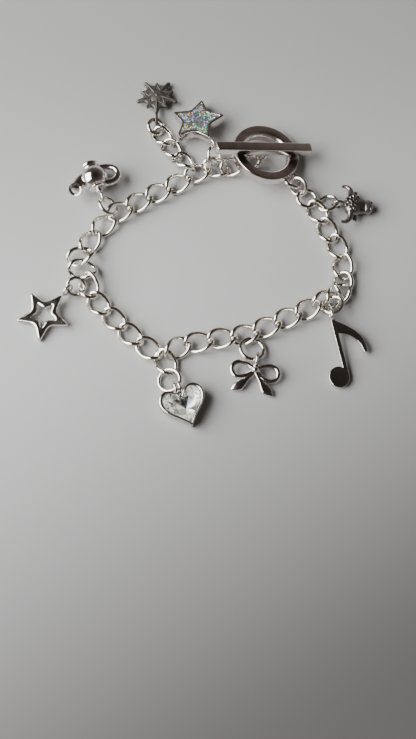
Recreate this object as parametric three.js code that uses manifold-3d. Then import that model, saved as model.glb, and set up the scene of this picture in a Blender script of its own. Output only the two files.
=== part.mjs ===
// Charm bracelet lying on a flat surface: a loop of twisted curb links closed by a toggle
// ring and bar, a short extender chain, and eight charms on jump rings.
// Millimetres, +Z up. The origin is the middle of the underside of the whole bracelet.

import * as THREE from "three";
import { mergeVertices } from "three/addons/utils/BufferGeometryUtils.js";
import Module from "manifold-3d";

const wasm = await Module();
wasm.setup();

const DEG = Math.PI / 180;
const UP = new THREE.Vector3(0, 0, 1);

// Curb links: outer size of a link, its wire and its twist from end to end.
const LINK_LENGTH = 7.5;
const LINK_WIDTH = 5.4;
const LINK_WIRE = 0.8;
const LINK_TWIST = 88 * DEG;
const LINK_FULLNESS = 2.25;
const LINK_COUNT = 32;

// Hooked wires keep this gap, and a taut joint has this much play along the chain.
const WIRE_GAP = 0.22;
const LINK_PLAY = 0.3;
const PITCH = LINK_LENGTH - 2 * LINK_WIRE - LINK_PLAY;

// The two rings between the clasp and the chain, and the wire of the charms' jump rings.
const ROUND_RING_SIZE = 5.7;
const LOOP_LINK_SIZE = 5.4;
const JUMP_WIRE = 0.8;

// Toggle clasp: its ring, the loop cast on the ring, the bar and the bar's shank.
const CLASP_RING_SIZE = 17.4;
const CLASP_RING_BAND = 3.1;
const CLASP_RING_THICKNESS = 2.8;
const CLASP_RING_ROUNDING = 0.8;
const CLASP_LOOP_SIZE = 4.6;
const CLASP_LOOP_WIRE = 1.0;
const CLASP_LOOP_CORNERS = 3;
const CLASP_LOOP_DRAWN = 0.1;
const CLASP_SOFTNESS = 0.3;
const BAR_LENGTH = 25.6;
const BAR_WIDTH = 2.7;
const BAR_THICKNESS = 2.3;
const BAR_ROUNDING = 0.45;
const SHANK_SIZE = 4.2;
const SHANK_WIRE = 0.9;
const SHANK_SET = 0.2;

// Pieces that lie on each other, and a stone in its cup, keep this gap.
const SEAT_GAP = 0.3;

// Bails of the charms.
const BAIL_SIZE = 3.6;
const BAIL_WIRE = 0.7;
const BAIL_TURN = 90 * DEG;

// Stars have this many tips, each cut blunt by a small angle on both sides.
const STAR_TIPS = 5;
const STAR_BLUNT = 4 * DEG;

// Open star: tip circle, band and thickness of its frame, its notches as a share of the
// tips' reach, and its edge rounding as a share of the band.
const OPEN_STAR_SIZE = 14.2;
const OPEN_STAR_BAND = 1.35;
const OPEN_STAR_THICKNESS = 1.5;
const OPEN_STAR_NOTCH = 0.44;
const OPEN_STAR_ROUNDING = 0.28;

// Glitter star: tip circle, height of its tray, rim and depth of the filling, its notches as
// a share of the tips' reach, its blunter tips and its edge rounding.
const GLITTER_STAR_SIZE = 14.6;
const GLITTER_STAR_HEIGHT = 2.6;
const GLITTER_STAR_RIM = 0.55;
const GLITTER_DEPTH = 1.2;
const GLITTER_STAR_NOTCH = 0.53;
const GLITTER_STAR_BLUNT = 6 * DEG;
const GLITTER_STAR_ROUNDING = 0.25;

// Heart: width over its cup, height and rim of the cup, height of the crystal above it.
const HEART_WIDTH = 11;
const HEART_CUP_HEIGHT = 3.1;
const HEART_RIM = 0.6;
const HEART_CUP_FLOOR = 0.8;
const HEART_RIM_ROUNDING = 0.25;
const HEART_SETBACK = 0.32;
const CRYSTAL_RISE = 0.9;
const CRYSTAL_STEP = 0.8;
const CRYSTAL_TABLE = 0.5;

// Bow: width over its loops, thickness of the ribbon, length of its tails, the turn of loops
// and tails from the middle, a loop's width as a share of its length, and the knot's shape.
// A tail's sections give place along it, half width, half depth and rise.
const BOW_WIDTH = 12.4;
const BOW_RIBBON = 1.25;
const BOW_TAIL = 7.0;
const BOW_TAIL_SET = 0.2;
const BOW_LOOP_TURN = 84 * DEG;
const BOW_TAIL_TURN = 34 * DEG;
const BOW_LOOP_WIDTH = 0.86;
const BOW_KNOT = [1.05, 1.15, 0.85];
const BOW_TAIL_SECTIONS = [
  [0, 0.45, 0.4, 0],
  [0.55, 0.5, 0.4, 0.1],
  [0.62, 0.9, 0.45, 0.1],
  [1, 0.25, 0.3, -0.2],
];

// Quaver: height, plate thickness and edge rounding, its head, stem and flag. The flag's
// edges bend through these shares of its length and reach.
const NOTE_HEIGHT = 18.4;
const NOTE_THICKNESS = 1.2;
const NOTE_ROUNDING = 0.2;
const NOTE_HEAD_LENGTH = 5.3;
const NOTE_HEAD_WIDTH = 4.9;
const NOTE_STEM = 1.1;
const NOTE_FLAG_LENGTH = 9.6;
const NOTE_FLAG_REACH = 6.2;
const NOTE_FLAG_ROOT = 4.2;
const NOTE_FLAG_OUTER = [
  [0.16, 0.62],
  [0.5, 1.12],
];
const NOTE_FLAG_INNER = [
  [0.8, 0.88],
  [0.5, 0.62],
];

// Bull's head: length from poll to muzzle, breadth, depth, and spread of its horns. A
// section gives its place along the head, half breadth, half depth and rise. A point of a
// horn gives its place along the head, its share of the spread and its rise.
const BULL_LENGTH = 7.4;
const BULL_BREADTH = 6.0;
const BULL_DEPTH = 4.2;
const BULL_HORN_SPREAD = 10.2;
const BULL_HORN = 1.8;
const BULL_HORN_TIP = 0.22;
const BULL_SECTIONS = [
  [0, 0.5, 0.5, 0],
  [0.12, 0.86, 0.86, 0],
  [0.34, 1, 1, 0],
  [0.62, 0.72, 0.66, -0.3],
  [0.84, 0.76, 0.64, -0.4],
  [1, 0.3, 0.36, -0.5],
];
const BULL_HORN_LINE = [
  [1.4, 0.29, 0.5],
  [1.5, 0.62, 0.7],
  [0.9, 0.94, 0.5],
  [-1.1, 0.94, 0.2],
];
const BULL_EAR = [2.4, 3.2];
const BULL_EAR_INSET = 0.7;
const BULL_EAR_REACH = 1.3;
const BULL_EAR_DROP = -0.4;
const BULL_EAR_ROOT = 0.75;
const BULL_CURL = 0.95;
const BULL_CURL_SHAPE = [1.2, 1, 0.8];
const BULL_CURL_AT = [1.9, 0.7, 0.75];

// Teapot: height from foot to lid, belly, spout and handle. A section gives its place from
// the lid down and its half width. The lines of spout, bore and handle are given along the
// pot from its middle and outwards, as shares of the height and of the reach.
const TEAPOT_HEIGHT = 8.6;
const TEAPOT_BELLY = 6.8;
const TEAPOT_NECK = 0.5;
const TEAPOT_SPOUT_REACH = 5.8;
const TEAPOT_SPOUT = 2.9;
const TEAPOT_SPOUT_WALL = 0.45;
const TEAPOT_HANDLE_REACH = 6.0;
const TEAPOT_HANDLE = 1.5;
const TEAPOT_MIDDLE = 0.55;
const TEAPOT_SPOUT_LINE = [
  [0.09, 0.35],
  [0, 0.76],
  [-0.26, 1],
];
const TEAPOT_BORE_LINE = [
  [-0.12, 0.79],
  [-0.28, 1.1],
];
const TEAPOT_HANDLE_LINE = [
  [-0.28, 0.34],
  [-0.3, 0.83],
  [0, 1],
  [0.28, 0.63],
  [0.3, 0.28],
];
const TEAPOT_SECTIONS = [
  [0.1, 0.26],
  [0.14, 0.58],
  [0.24, 0.74],
  [0.45, 1],
  [0.65, 0.96],
  [0.86, 0.62],
  [0.9, 0.66],
  [1, 0.7],
];

// Spiky star: tip circle, plate thickness and edge rounding, balls on its tips, the raised
// middle, and the turns and shares of reach of its outline from one tip to the next.
const SPIKY_STAR_SIZE = 11.2;
const SPIKY_STAR_THICKNESS = 1.2;
const SPIKY_STAR_ROUNDING = 0.15;
const SPIKY_STAR_BALL = 1.1;
const SPIKY_STAR_BOSS = 0.5;
const SPIKY_STAR_BOSS_HEIGHT = 0.36;
const SPIKY_STAR_OUTLINE = [
  [-3 * DEG, 1],
  [3 * DEG, 1],
  [20 * DEG, 0.6],
  [36 * DEG, 0.8],
  [52 * DEG, 0.6],
];

// Smoothness: sides of a wire, steps round a link, a ring and a small loop, and round the
// clasp's ring and the other turned forms.
const WIRE_SIDES = 6;
const LINK_STEPS = 16;
const RING_STEPS = 14;
const BAIL_STEPS = 12;
const CLASP_STEPS = 40;
const ROUND_STEPS = 14;
const HEAD_STEPS = 20;
const EAR_STEPS = 3;
const SPOUT_STEPS = 5;
const SPOUT_SIDES = 10;
const HANDLE_STEPS = 8;
const TAIL_SIDES = 8;
const BALL_STEPS = [8, 6];
const KNOT_STEPS = [10, 7];
const BOSS_STEPS = [12, 8];

// The finishes.
const SILVER = { color: 0xd6d2c8, roughness: 0.16, metalness: 1 };
const DARK_SILVER = { color: 0x8f8a84, roughness: 0.14, metalness: 1 };
const ANTIQUE_SILVER = { color: 0x4f4a47, roughness: 0.35, metalness: 1 };
const CRYSTAL = { color: 0xdfe8f2, roughness: 0.02, metalness: 0 };
const GLITTER = { color: 0x6f8f94, roughness: 0.3, metalness: 0.4 };

// The route of the chain on the surface from the toggle ring's loop round to the bar, in
// shares of the pitch, measured from the middle of the bracelet, and that of the extender.
const ROUTE = [
  [4.7, 1.83],
  [5.38, 0.3],
  [5.79, -0.36],
  [6.14, -1.31],
  [6.0, -2.3],
  [5.82, -3.04],
  [5.36, -3.23],
  [3.94, -3.83],
  [2.09, -4.69],
  [0.05, -5.08],
  [-1.77, -5.62],
  [-2.17, -5.76],
  [-3.64, -4.37],
  [-5.01, -2.99],
  [-5.36, -1.83],
  [-5.48, -1.19],
  [-5.42, -0.55],
  [-4.8, 0.1],
  [-4.09, 1.06],
  [-2.57, 1.92],
  [-0.73, 2.94],
  [0.04, 3.44],
  [0.78, 3.44],
];
const EXTENDER_ROUTE = [
  [-0.55, 3.4],
  [-1.33, 4.08],
  [-1.71, 4.72],
  [-2.18, 5.42],
];

// Where the toggle ring lies, in shares of the pitch, how it is tipped by the chain beneath
// it, raised at its left and at its near side, and where its loop and the bar point.
const CLASP_AT = [2.74, 3.9];
const CLASP_LEFT_UP = 14.5 * DEG;
const CLASP_NEAR_UP = 8 * DEG;
const CLASP_LOOP_TURN = -44 * DEG;
const BAR_TURN = 10.8 * DEG;
const BAR_SHIFT = [-1.2, -0.5];

// How much of the pitch each piece takes up along the route where it isn't all of it. The
// chain's own links go by their numbers.
const SLACK = {
  loop_link: 0.6,
  round_ring: 0.85,
  2: 0.8,
  5: 0.76,
  6: 0.5,
  7: 0.62,
  14: 0.9,
  15: 0.43,
  20: 1.05,
  21: 0.7,
  22: 0.64,
  30: 0.8,
  31: 0.85,
  32: 0.85,
};

// Links that lie across the chain: turned from its direction, and pulled outwards by what
// hangs on them, in shares of the link's length.
const ACROSS = {
  15: { turn: 90, out: 0.36 },
  21: { turn: 90, out: 0 },
  22: { turn: 96, out: 0 },
};

// How far the links lean over about the chain's direction, from stop to stop.
const LEAN = [
  { link: 1, lean: 16 },
  { link: 4, lean: 14 },
  { link: 8, lean: -14 },
  { link: 20, lean: -14 },
  { link: 23, lean: 14 },
  { link: 29, lean: 14 },
  { link: 32, lean: 0 },
];

const EXTENDER_LEAN = 30 * DEG;

// The charms: the link each hangs on, where its jump ring lies from that link and the
// bail from the ring, where the charm points, how far its bail end is raised, and how the
// ring and the bail are turned. Angles are in degrees; ring is the jump ring's size, and
// pull is how far the ring is drawn out, as a share of its radius.
const CHARMS = {
  heart: { on: "link_15", from: -84, ring: 6.2, pull: 0.78, hook: -46, hang: -69, tip: 3, lean: 40 },
  bow: { on: "link_11", from: -75, ring: 6.6, pull: 0.6, hook: -58, hang: -100, tip: 6, lean: -40 },
  note: { on: "link_06", from: -95, ring: 5.6, pull: 0.2, hook: -120, hang: -78, tip: 5, lean: 30 },
  bull: { on: "link_01", from: 55, ring: 5.8, pull: 0.8, hook: -20, hang: -4, tip: 4, lean: -35 },
  teapot: { on: "link_25", from: 165, ring: 5.8, pull: 0.1, hook: 130, hang: 111, tip: 2, lean: 50 },
  open_star: { on: "link_20", from: 170, ring: 5.2, pull: 0.2, hook: -140, hang: -132, tip: 6, lean: -30 },
  glitter_star: { on: "link_30", from: 100, ring: 5.8, pull: 0, hook: 100, hang: 117, tip: 12, lean: 60 },
  snowflake: { on: "extender_3", from: 124, ring: 5.0, pull: 0.7, hook: 83, hang: 90, tip: 4, lean: 40 },
};

// A closed solid of a geometry, for joining and cutting.
function solid(geometry) {
  const bare = geometry.index ? geometry.toNonIndexed() : geometry.clone();
  bare.deleteAttribute("normal");
  bare.deleteAttribute("uv");
  const merged = mergeVertices(bare, 1e-4);
  return new wasm.Manifold(
    new wasm.Mesh({
      numProp: 3,
      vertProperties: merged.attributes.position.array,
      triVerts: new Uint32Array(merged.index.array),
    }),
  );
}

// The geometry of a joined or cut solid.
function geometryOf(shape) {
  const mesh = shape.getMesh();
  const geometry = new THREE.BufferGeometry();
  geometry.setAttribute("position", new THREE.BufferAttribute(mesh.vertProperties, 3));
  geometry.setIndex(new THREE.BufferAttribute(mesh.triVerts, 1));
  return geometry;
}

function join(...geometries) {
  return geometryOf(geometries.map(solid).reduce((whole, piece) => whole.add(piece)));
}

function cut(geometry, ...tools) {
  return geometryOf(tools.map(solid).reduce((whole, tool) => whole.subtract(tool), solid(geometry)));
}

function meshOf(name, geometry, finish) {
  const mesh = new THREE.Mesh(geometry, new THREE.MeshStandardMaterial(finish));
  mesh.name = name;
  return mesh;
}

// A cosine or sine drawn fuller, so that an oval made of them has straighter sides.
function fuller(value, fullness) {
  return Math.sign(value) * Math.abs(value) ** (2 / fullness);
}

// The centreline of a twisted curb link, long axis along X: a flat oval whose two ends are
// turned against each other about that axis.
class CurbLine extends THREE.Curve {
  getPoint(t) {
    const turn = t * 2 * Math.PI;
    const halfLength = (LINK_LENGTH - LINK_WIRE) / 2;
    const halfWidth = (LINK_WIDTH - LINK_WIRE) / 2;
    const x = halfLength * fuller(Math.cos(turn), LINK_FULLNESS);
    const y = halfWidth * fuller(Math.sin(turn), LINK_FULLNESS);
    const roll = (-LINK_TWIST / 2) * (x / halfLength);
    return new THREE.Vector3(x, y * Math.cos(roll), y * Math.sin(roll));
  }
}

// The centreline of a flat round ring, its axis along Z.
class RingLine extends THREE.Curve {
  constructor(radius) {
    super();
    this.radius = radius;
  }

  getPoint(t) {
    const turn = t * 2 * Math.PI;
    return new THREE.Vector3(this.radius * Math.cos(turn), this.radius * Math.sin(turn), 0);
  }
}

// A wire bent to a closed line. The tube closes on itself, so it has no ends.
function wireGeometry(line, wire, steps) {
  return new THREE.TubeGeometry(line, steps, wire / 2, WIRE_SIDES, true);
}

// A wire piece that can lie on the surface: its line, its wire and its place.
const SAMPLES = 44;

function wirePiece(name, line, wire, place, turn, fixed = false) {
  return {
    name,
    line,
    wire,
    points: line.getPoints(SAMPLES).slice(0, SAMPLES),
    at: place.clone(),
    turn: turn.clone(),
    home: place.clone(),
    spin: 1 / (line.getPoint(0).length() ** 2 / 2),
    world: [],
    fixed,
  };
}

function moveSamples(piece) {
  piece.world = piece.points.map((point) => point.clone().applyQuaternion(piece.turn).add(piece.at));
}

// Moves a piece by a push at one of its points, as a free rigid body would move.
function pushPiece(piece, point, push) {
  if (piece.fixed) return;
  const arm = point.clone().sub(piece.at);
  piece.at.add(push);
  const spin = arm.cross(push).multiplyScalar(piece.spin);
  const angle = spin.length();
  if (angle > 1e-9) {
    piece.turn.premultiply(new THREE.Quaternion().setFromAxisAngle(spin.divideScalar(angle), angle));
  }
  moveSamples(piece);
}

// How easily a push along a direction at a point moves the piece.
function looseness(piece, point, direction) {
  if (piece.fixed) return 0;
  const arm = point.clone().sub(piece.at).cross(direction);
  return 1 + arm.lengthSq() * piece.spin;
}

// Pushes two wires apart at their closest points where they are nearer than the gap.
function partWires(a, b) {
  const need = (a.wire + b.wire) / 2 + WIRE_GAP;
  let closest = need * need;
  let pointA = null;
  let pointB = null;
  for (const p of a.world) {
    for (const q of b.world) {
      const square = p.distanceToSquared(q);
      if (square < closest) {
        closest = square;
        pointA = p;
        pointB = q;
      }
    }
  }
  if (!pointA) return;
  const distance = Math.sqrt(closest);
  const direction = pointA.clone().sub(pointB).divideScalar(distance);
  const looseA = looseness(a, pointA, direction);
  const looseB = looseness(b, pointB, direction);
  if (looseA + looseB === 0) return;
  const push = direction.multiplyScalar((need - distance) / (looseA + looseB));
  pushPiece(a, pointA, push);
  pushPiece(b, pointB, push.negate());
}

function keepOffSurface(piece) {
  if (piece.fixed) return;
  const lowest = piece.world.reduce((low, point) => (point.z < low.z ? point : low));
  const sunk = piece.wire / 2 - lowest.z;
  if (sunk > 0) {
    const push = UP.clone().multiplyScalar(sunk / looseness(piece, lowest, UP));
    pushPiece(piece, lowest, push);
  }
}

// Lets the wires come to lie on the surface and on each other: each sinks a little, is
// drawn back over its place, and is pushed clear of the wires it touches.
const SETTLE_ROUNDS = 360;
const SINKING_ROUNDS = 240;
const SINK_STEP = 0.012;
const HOME_PULL = 0.03;

function settle(pieces) {
  pieces.forEach(moveSamples);
  const reach = (piece) => Math.max(...piece.points.map((point) => point.length())) + piece.wire;
  const pairs = [];
  for (let i = 0; i < pieces.length; i += 1) {
    for (let j = i + 1; j < pieces.length; j += 1) {
      const [a, b] = [pieces[i], pieces[j]];
      const near = a.home.distanceTo(b.home) < reach(a) + reach(b) + LINK_WIRE;
      if (near && !(a.fixed && b.fixed)) pairs.push([a, b]);
    }
  }
  for (let round = 0; round < SETTLE_ROUNDS; round += 1) {
    if (round < SINKING_ROUNDS) {
      for (const piece of pieces.filter((one) => !one.fixed)) {
        piece.at.z -= SINK_STEP;
        piece.at.x += (piece.home.x - piece.at.x) * HOME_PULL;
        piece.at.y += (piece.home.y - piece.at.y) * HOME_PULL;
        moveSamples(piece);
      }
    }
    pairs.forEach(([a, b]) => partWires(a, b));
    pieces.forEach(keepOffSurface);
  }
}

function placed(name, piece, steps, finish) {
  const mesh = meshOf(name, wireGeometry(piece.line, piece.wire, steps), finish);
  mesh.position.copy(piece.at);
  mesh.quaternion.copy(piece.turn);
  return mesh;
}

// Turn of a piece that lies along a plan direction, leaning about it and tipped along it.
function lying(direction, lean = 0, tip = 0) {
  return new THREE.Quaternion().setFromEuler(new THREE.Euler(lean, -tip, direction, "ZYX"));
}

function plan(x, y, z = 0) {
  return new THREE.Vector3(x, y, z);
}

// Plan direction from one point to another.
function heading(from, to) {
  return Math.atan2(to.y - from.y, to.x - from.x);
}

function towards(direction, distance) {
  return plan(Math.cos(direction), Math.sin(direction)).multiplyScalar(distance);
}

// A closed solid through rings of points, which go round anticlockwise as seen looking
// back from the last ring to the first, each end closed by a fan about its middle.
function loft(rings) {
  const count = rings[0].length;
  const middleOf = (ring) =>
    ring.reduce((sum, point) => sum.add(point), plan(0, 0)).divideScalar(count);
  const points = [...rings.flat(), middleOf(rings[0]), middleOf(rings[rings.length - 1])];
  const faces = [];
  for (let row = 0; row + 1 < rings.length; row += 1) {
    for (let i = 0; i < count; i += 1) {
      const next = (i + 1) % count;
      const [a, b] = [row * count + i, row * count + next];
      faces.push(a, b, b + count, a, b + count, a + count);
    }
  }
  const last = (rings.length - 1) * count;
  for (let i = 0; i < count; i += 1) {
    const next = (i + 1) % count;
    faces.push(points.length - 2, next, i, points.length - 1, last + i, last + next);
  }
  const geometry = new THREE.BufferGeometry().setFromPoints(points);
  geometry.setIndex(faces);
  return geometry;
}

// A ring of points round the X axis at x, of half breadth and half depth.
function oval(x, halfBreadth, halfDepth, rise = 0, steps = ROUND_STEPS) {
  return Array.from({ length: steps }, (_, i) => {
    const turn = (i / steps) * 2 * Math.PI;
    return plan(x, halfBreadth * Math.cos(turn), rise + halfDepth * Math.sin(turn));
  });
}

// A round bar along a curve, thinning from one radius to another.
function taper(curve, fromRadius, toRadius, steps = 6, sides = 8) {
  const frames = curve.computeFrenetFrames(steps, false);
  const rings = [];
  for (let row = 0; row <= steps; row += 1) {
    const centre = curve.getPointAt(row / steps);
    const radius = fromRadius + (toRadius - fromRadius) * (row / steps);
    const ring = [];
    for (let i = 0; i < sides; i += 1) {
      const turn = (i / sides) * 2 * Math.PI;
      const out = frames.normals[row].clone().multiplyScalar(Math.cos(turn));
      out.addScaledVector(frames.binormals[row], Math.sin(turn));
      ring.push(centre.clone().addScaledVector(out, radius));
    }
    rings.push(ring);
  }
  return loft(rings);
}

function through(...points) {
  return new THREE.CatmullRomCurve3(points.map((point) => plan(...point)));
}

// A flat plate of an outline, its middle plane at height zero, with rounded edges.
function plate(outline, thickness, rounding) {
  const settings = {
    depth: thickness - 2 * rounding,
    bevelEnabled: rounding > 0,
    bevelThickness: rounding,
    bevelSize: rounding,
    bevelOffset: -rounding,
    bevelSegments: 1,
    curveSegments: 6,
  };
  return new THREE.ExtrudeGeometry(outline, settings).translate(0, 0, rounding - thickness / 2);
}

// A star outline, its first tip towards -X, each tip cut blunt.
function starPoints(tipRadius, notchRadius, blunt) {
  const points = [];
  for (let tip = 0; tip < STAR_TIPS; tip += 1) {
    const turn = Math.PI + (tip / STAR_TIPS) * 2 * Math.PI;
    points.push(towards(turn - blunt, tipRadius), towards(turn + blunt, tipRadius));
    points.push(towards(turn + Math.PI / STAR_TIPS, notchRadius));
  }
  return points;
}

// How far a star's straight edges lie from its middle.
function starEdge(tip, notch) {
  const half = Math.PI / STAR_TIPS;
  const length = Math.hypot(tip - notch * Math.cos(half), notch * Math.sin(half));
  return (tip * notch * Math.sin(half)) / length;
}

function shapeOf(points) {
  return new THREE.Shape(points.map((point) => new THREE.Vector2(point.x, point.y)));
}

// Every charm is built with its bail's middle at the origin, the charm along +X and its
// face up. The bail is a small ring, turned about X from the plane of the charm.
const bailRadius = (BAIL_SIZE - BAIL_WIRE) / 2;
const bailReach = BAIL_SIZE / 2 - BAIL_WIRE / 2;

function bailGeometry() {
  return wireGeometry(new RingLine(bailRadius), BAIL_WIRE, BAIL_STEPS).rotateX(BAIL_TURN);
}

function openStar() {
  const tip = OPEN_STAR_SIZE / 2;
  const notch = tip * OPEN_STAR_NOTCH;
  const edge = starEdge(tip, notch);
  const inner = (edge - OPEN_STAR_BAND) / edge;
  const hole = starPoints(tip * inner, notch * inner, STAR_BLUNT).reverse();
  const outline = shapeOf(starPoints(tip, notch, STAR_BLUNT));
  outline.holes.push(new THREE.Path(hole.map(flat)));
  const frame = plate(outline, OPEN_STAR_THICKNESS, OPEN_STAR_BAND * OPEN_STAR_ROUNDING);
  return join(frame.translate(tip + bailReach, 0, 0), bailGeometry());
}

function flat(point) {
  return new THREE.Vector2(point.x, point.y);
}

// The glitter star's outline, shrunk by a share for the recess and its filling.
const glitterTip = GLITTER_STAR_SIZE / 2;
const glitterNotch = glitterTip * GLITTER_STAR_NOTCH;
const glitterEdge = starEdge(glitterTip, glitterNotch);

function glitterOutline(inset) {
  const share = (glitterEdge - inset) / glitterEdge;
  return shapeOf(starPoints(glitterTip * share, glitterNotch * share, GLITTER_STAR_BLUNT));
}

function glitterTray() {
  const tray = plate(glitterOutline(0), GLITTER_STAR_HEIGHT, GLITTER_STAR_ROUNDING);
  const recess = plate(glitterOutline(GLITTER_STAR_RIM), GLITTER_STAR_HEIGHT, 0);
  recess.translate(0, 0, GLITTER_STAR_HEIGHT - GLITTER_DEPTH);
  const body = cut(tray, recess).translate(glitterTip + bailReach, 0, 0);
  return join(body, bailGeometry());
}

function glitterInlay() {
  const gap = SEAT_GAP / 2;
  const thickness = GLITTER_DEPTH - gap;
  const inlay = plate(glitterOutline(GLITTER_STAR_RIM + gap), thickness, 0);
  return inlay.translate(glitterTip + bailReach, 0, (GLITTER_STAR_HEIGHT - thickness) / 2);
}

// A heart's outline, its notch towards -X and its tip towards +X. An inset draws it in
// square to the rim by the notch and towards the middle by the tip, then by a share.
const HEART_POINTS = 28;
const HEART_UNITS = 32;
const HEART_SOFTNESS = 0.22;
const HEART_FLANK = 0.31;
const HEART_NOTCH = 7;

function heartRing(inset, z, share = 1) {
  const unit = HEART_WIDTH / HEART_UNITS;
  const turnOf = (i) => (i / HEART_POINTS) * 2 * Math.PI;
  const rim = Array.from({ length: HEART_POINTS }, (_, i) => {
    const t = turnOf(i);
    const along = 13 * Math.cos(t) - 5 * Math.cos(2 * t) - 2 * Math.cos(3 * t) - Math.cos(4 * t);
    const across = Math.sin(t) * (HEART_SOFTNESS + (1 - HEART_SOFTNESS) * Math.sin(t) ** 2);
    return plan(-unit * (along + 2), (-HEART_WIDTH / 2) * across, z);
  });
  return rim.map((point, i) => {
    const before = rim[(i + HEART_POINTS - 1) % HEART_POINTS];
    const after = rim[(i + 1) % HEART_POINTS];
    const square = UP.clone().cross(after.clone().sub(before)).normalize().multiplyScalar(inset);
    const drawnIn = 1 - inset / (HEART_WIDTH * HEART_FLANK);
    const inwards = plan(point.x * (drawnIn - 1), point.y * (drawnIn - 1));
    const nearNotch = ((1 + Math.cos(turnOf(i))) / 2) ** 2;
    const drawn = point.clone().add(inwards.lerp(square, nearNotch));
    return plan(drawn.x * share, drawn.y * share, z);
  });
}

const heartMiddle = bailReach + HEART_WIDTH * HEART_SETBACK;
const heartSeat = -HEART_CUP_HEIGHT / 2 + HEART_CUP_FLOOR;

function heartBezel() {
  const half = HEART_CUP_HEIGHT / 2;
  const cup = loft([
    heartRing(HEART_RIM, -half),
    heartRing(0, HEART_RIM - half),
    heartRing(0, half - HEART_RIM_ROUNDING),
    heartRing(HEART_RIM_ROUNDING, half),
  ]);
  const recess = loft([
    heartRing(HEART_RIM, heartSeat),
    heartRing(HEART_RIM, half + HEART_RIM),
  ]);
  const notchAt = heartMiddle - (HEART_WIDTH / HEART_UNITS) * HEART_NOTCH;
  const neck = loft([
    oval(bailReach, BAIL_WIRE / 2, BAIL_WIRE / 2),
    oval(notchAt + HEART_RIM / 2, BAIL_WIRE / 2, BAIL_WIRE / 2),
  ]);
  return join(cut(cup, recess).translate(heartMiddle, 0, 0), neck, bailGeometry());
}

function heartCrystal() {
  const girdle = HEART_CUP_HEIGHT / 2 - HEART_RIM_ROUNDING;
  const rim = HEART_RIM + SEAT_GAP;
  const crystal = loft([
    heartRing(rim, heartSeat + SEAT_GAP, CRYSTAL_TABLE),
    heartRing(rim, girdle - HEART_RIM_ROUNDING),
    heartRing(rim, girdle),
    heartRing(rim, girdle + CRYSTAL_RISE * CRYSTAL_TABLE, CRYSTAL_STEP),
    heartRing(rim, girdle + CRYSTAL_RISE, CRYSTAL_TABLE),
  ]);
  return crystal.translate(heartMiddle, 0, 0);
}

// A bow's loop: a teardrop from the knot outwards, along the direction of turn.
class BowLine extends THREE.Curve {
  constructor(length, width) {
    super();
    this.length = length;
    this.width = width;
  }

  getPoint(t) {
    const turn = t * 2 * Math.PI;
    const along = (this.length * (1 - Math.cos(turn))) / 2;
    const across = (this.width / 2) * Math.sin(turn) * Math.sin(turn / 2);
    return plan(along, across, 0);
  }
}

function bow() {
  const knotAt = bailReach + BOW_RIBBON;
  const loopLength = (BOW_WIDTH - BOW_RIBBON) / 2;
  const loopLine = new BowLine(loopLength, loopLength * BOW_LOOP_WIDTH);
  const parts = [bailGeometry()];
  for (const side of [1, -1]) {
    const loop = wireGeometry(loopLine, BOW_RIBBON, LINK_STEPS);
    parts.push(loop.rotateZ(side * BOW_LOOP_TURN).translate(knotAt, 0, 0));
    const tail = loft(
      BOW_TAIL_SECTIONS.map(([along, wide, deep, rise]) =>
        oval(BOW_TAIL * along, BOW_RIBBON * wide, BOW_RIBBON * deep, rise, TAIL_SIDES),
      ),
    );
    parts.push(tail.rotateZ(side * BOW_TAIL_TURN).translate(knotAt + BOW_TAIL_SET, 0, 0));
  }
  const knot = new THREE.SphereGeometry(BOW_RIBBON, ...KNOT_STEPS).scale(...BOW_KNOT);
  parts.push(knot.translate(knotAt, 0, 0));
  return join(...parts);
}

// A quaver with its bail at the top of the stem: the head at the far end on one side, the
// flag leaving the stem on the other side and curling down to a point.
function note() {
  const headAt = NOTE_HEIGHT - NOTE_HEAD_LENGTH / 2;
  const rim = Array.from({ length: HEAD_STEPS }, (_, i) => {
    const turn = (i / HEAD_STEPS) * 2 * Math.PI;
    return plan((NOTE_HEAD_LENGTH / 2) * Math.cos(turn), (NOTE_HEAD_WIDTH / 2) * Math.sin(turn));
  });
  const head = plate(shapeOf(rim), NOTE_THICKNESS, NOTE_ROUNDING);
  head.translate(headAt, (NOTE_STEM - NOTE_HEAD_WIDTH) / 2, 0);
  const stem = new THREE.BoxGeometry(headAt - bailReach, NOTE_STEM, NOTE_THICKNESS);
  stem.translate((headAt + bailReach) / 2, 0, 0);
  const bend = ([along, out]) => [NOTE_FLAG_LENGTH * along, NOTE_FLAG_REACH * out];
  const flag = new THREE.Shape();
  flag.moveTo(0, 0);
  flag.bezierCurveTo(...NOTE_FLAG_OUTER.flatMap(bend), NOTE_FLAG_LENGTH, NOTE_FLAG_REACH);
  flag.bezierCurveTo(...NOTE_FLAG_INNER.flatMap(bend), NOTE_FLAG_ROOT, 0);
  const flagPlate = plate(flag, NOTE_THICKNESS, 0).translate(bailReach, 0, 0);
  return join(stem, head, flagPlate, bailGeometry());
}

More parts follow.
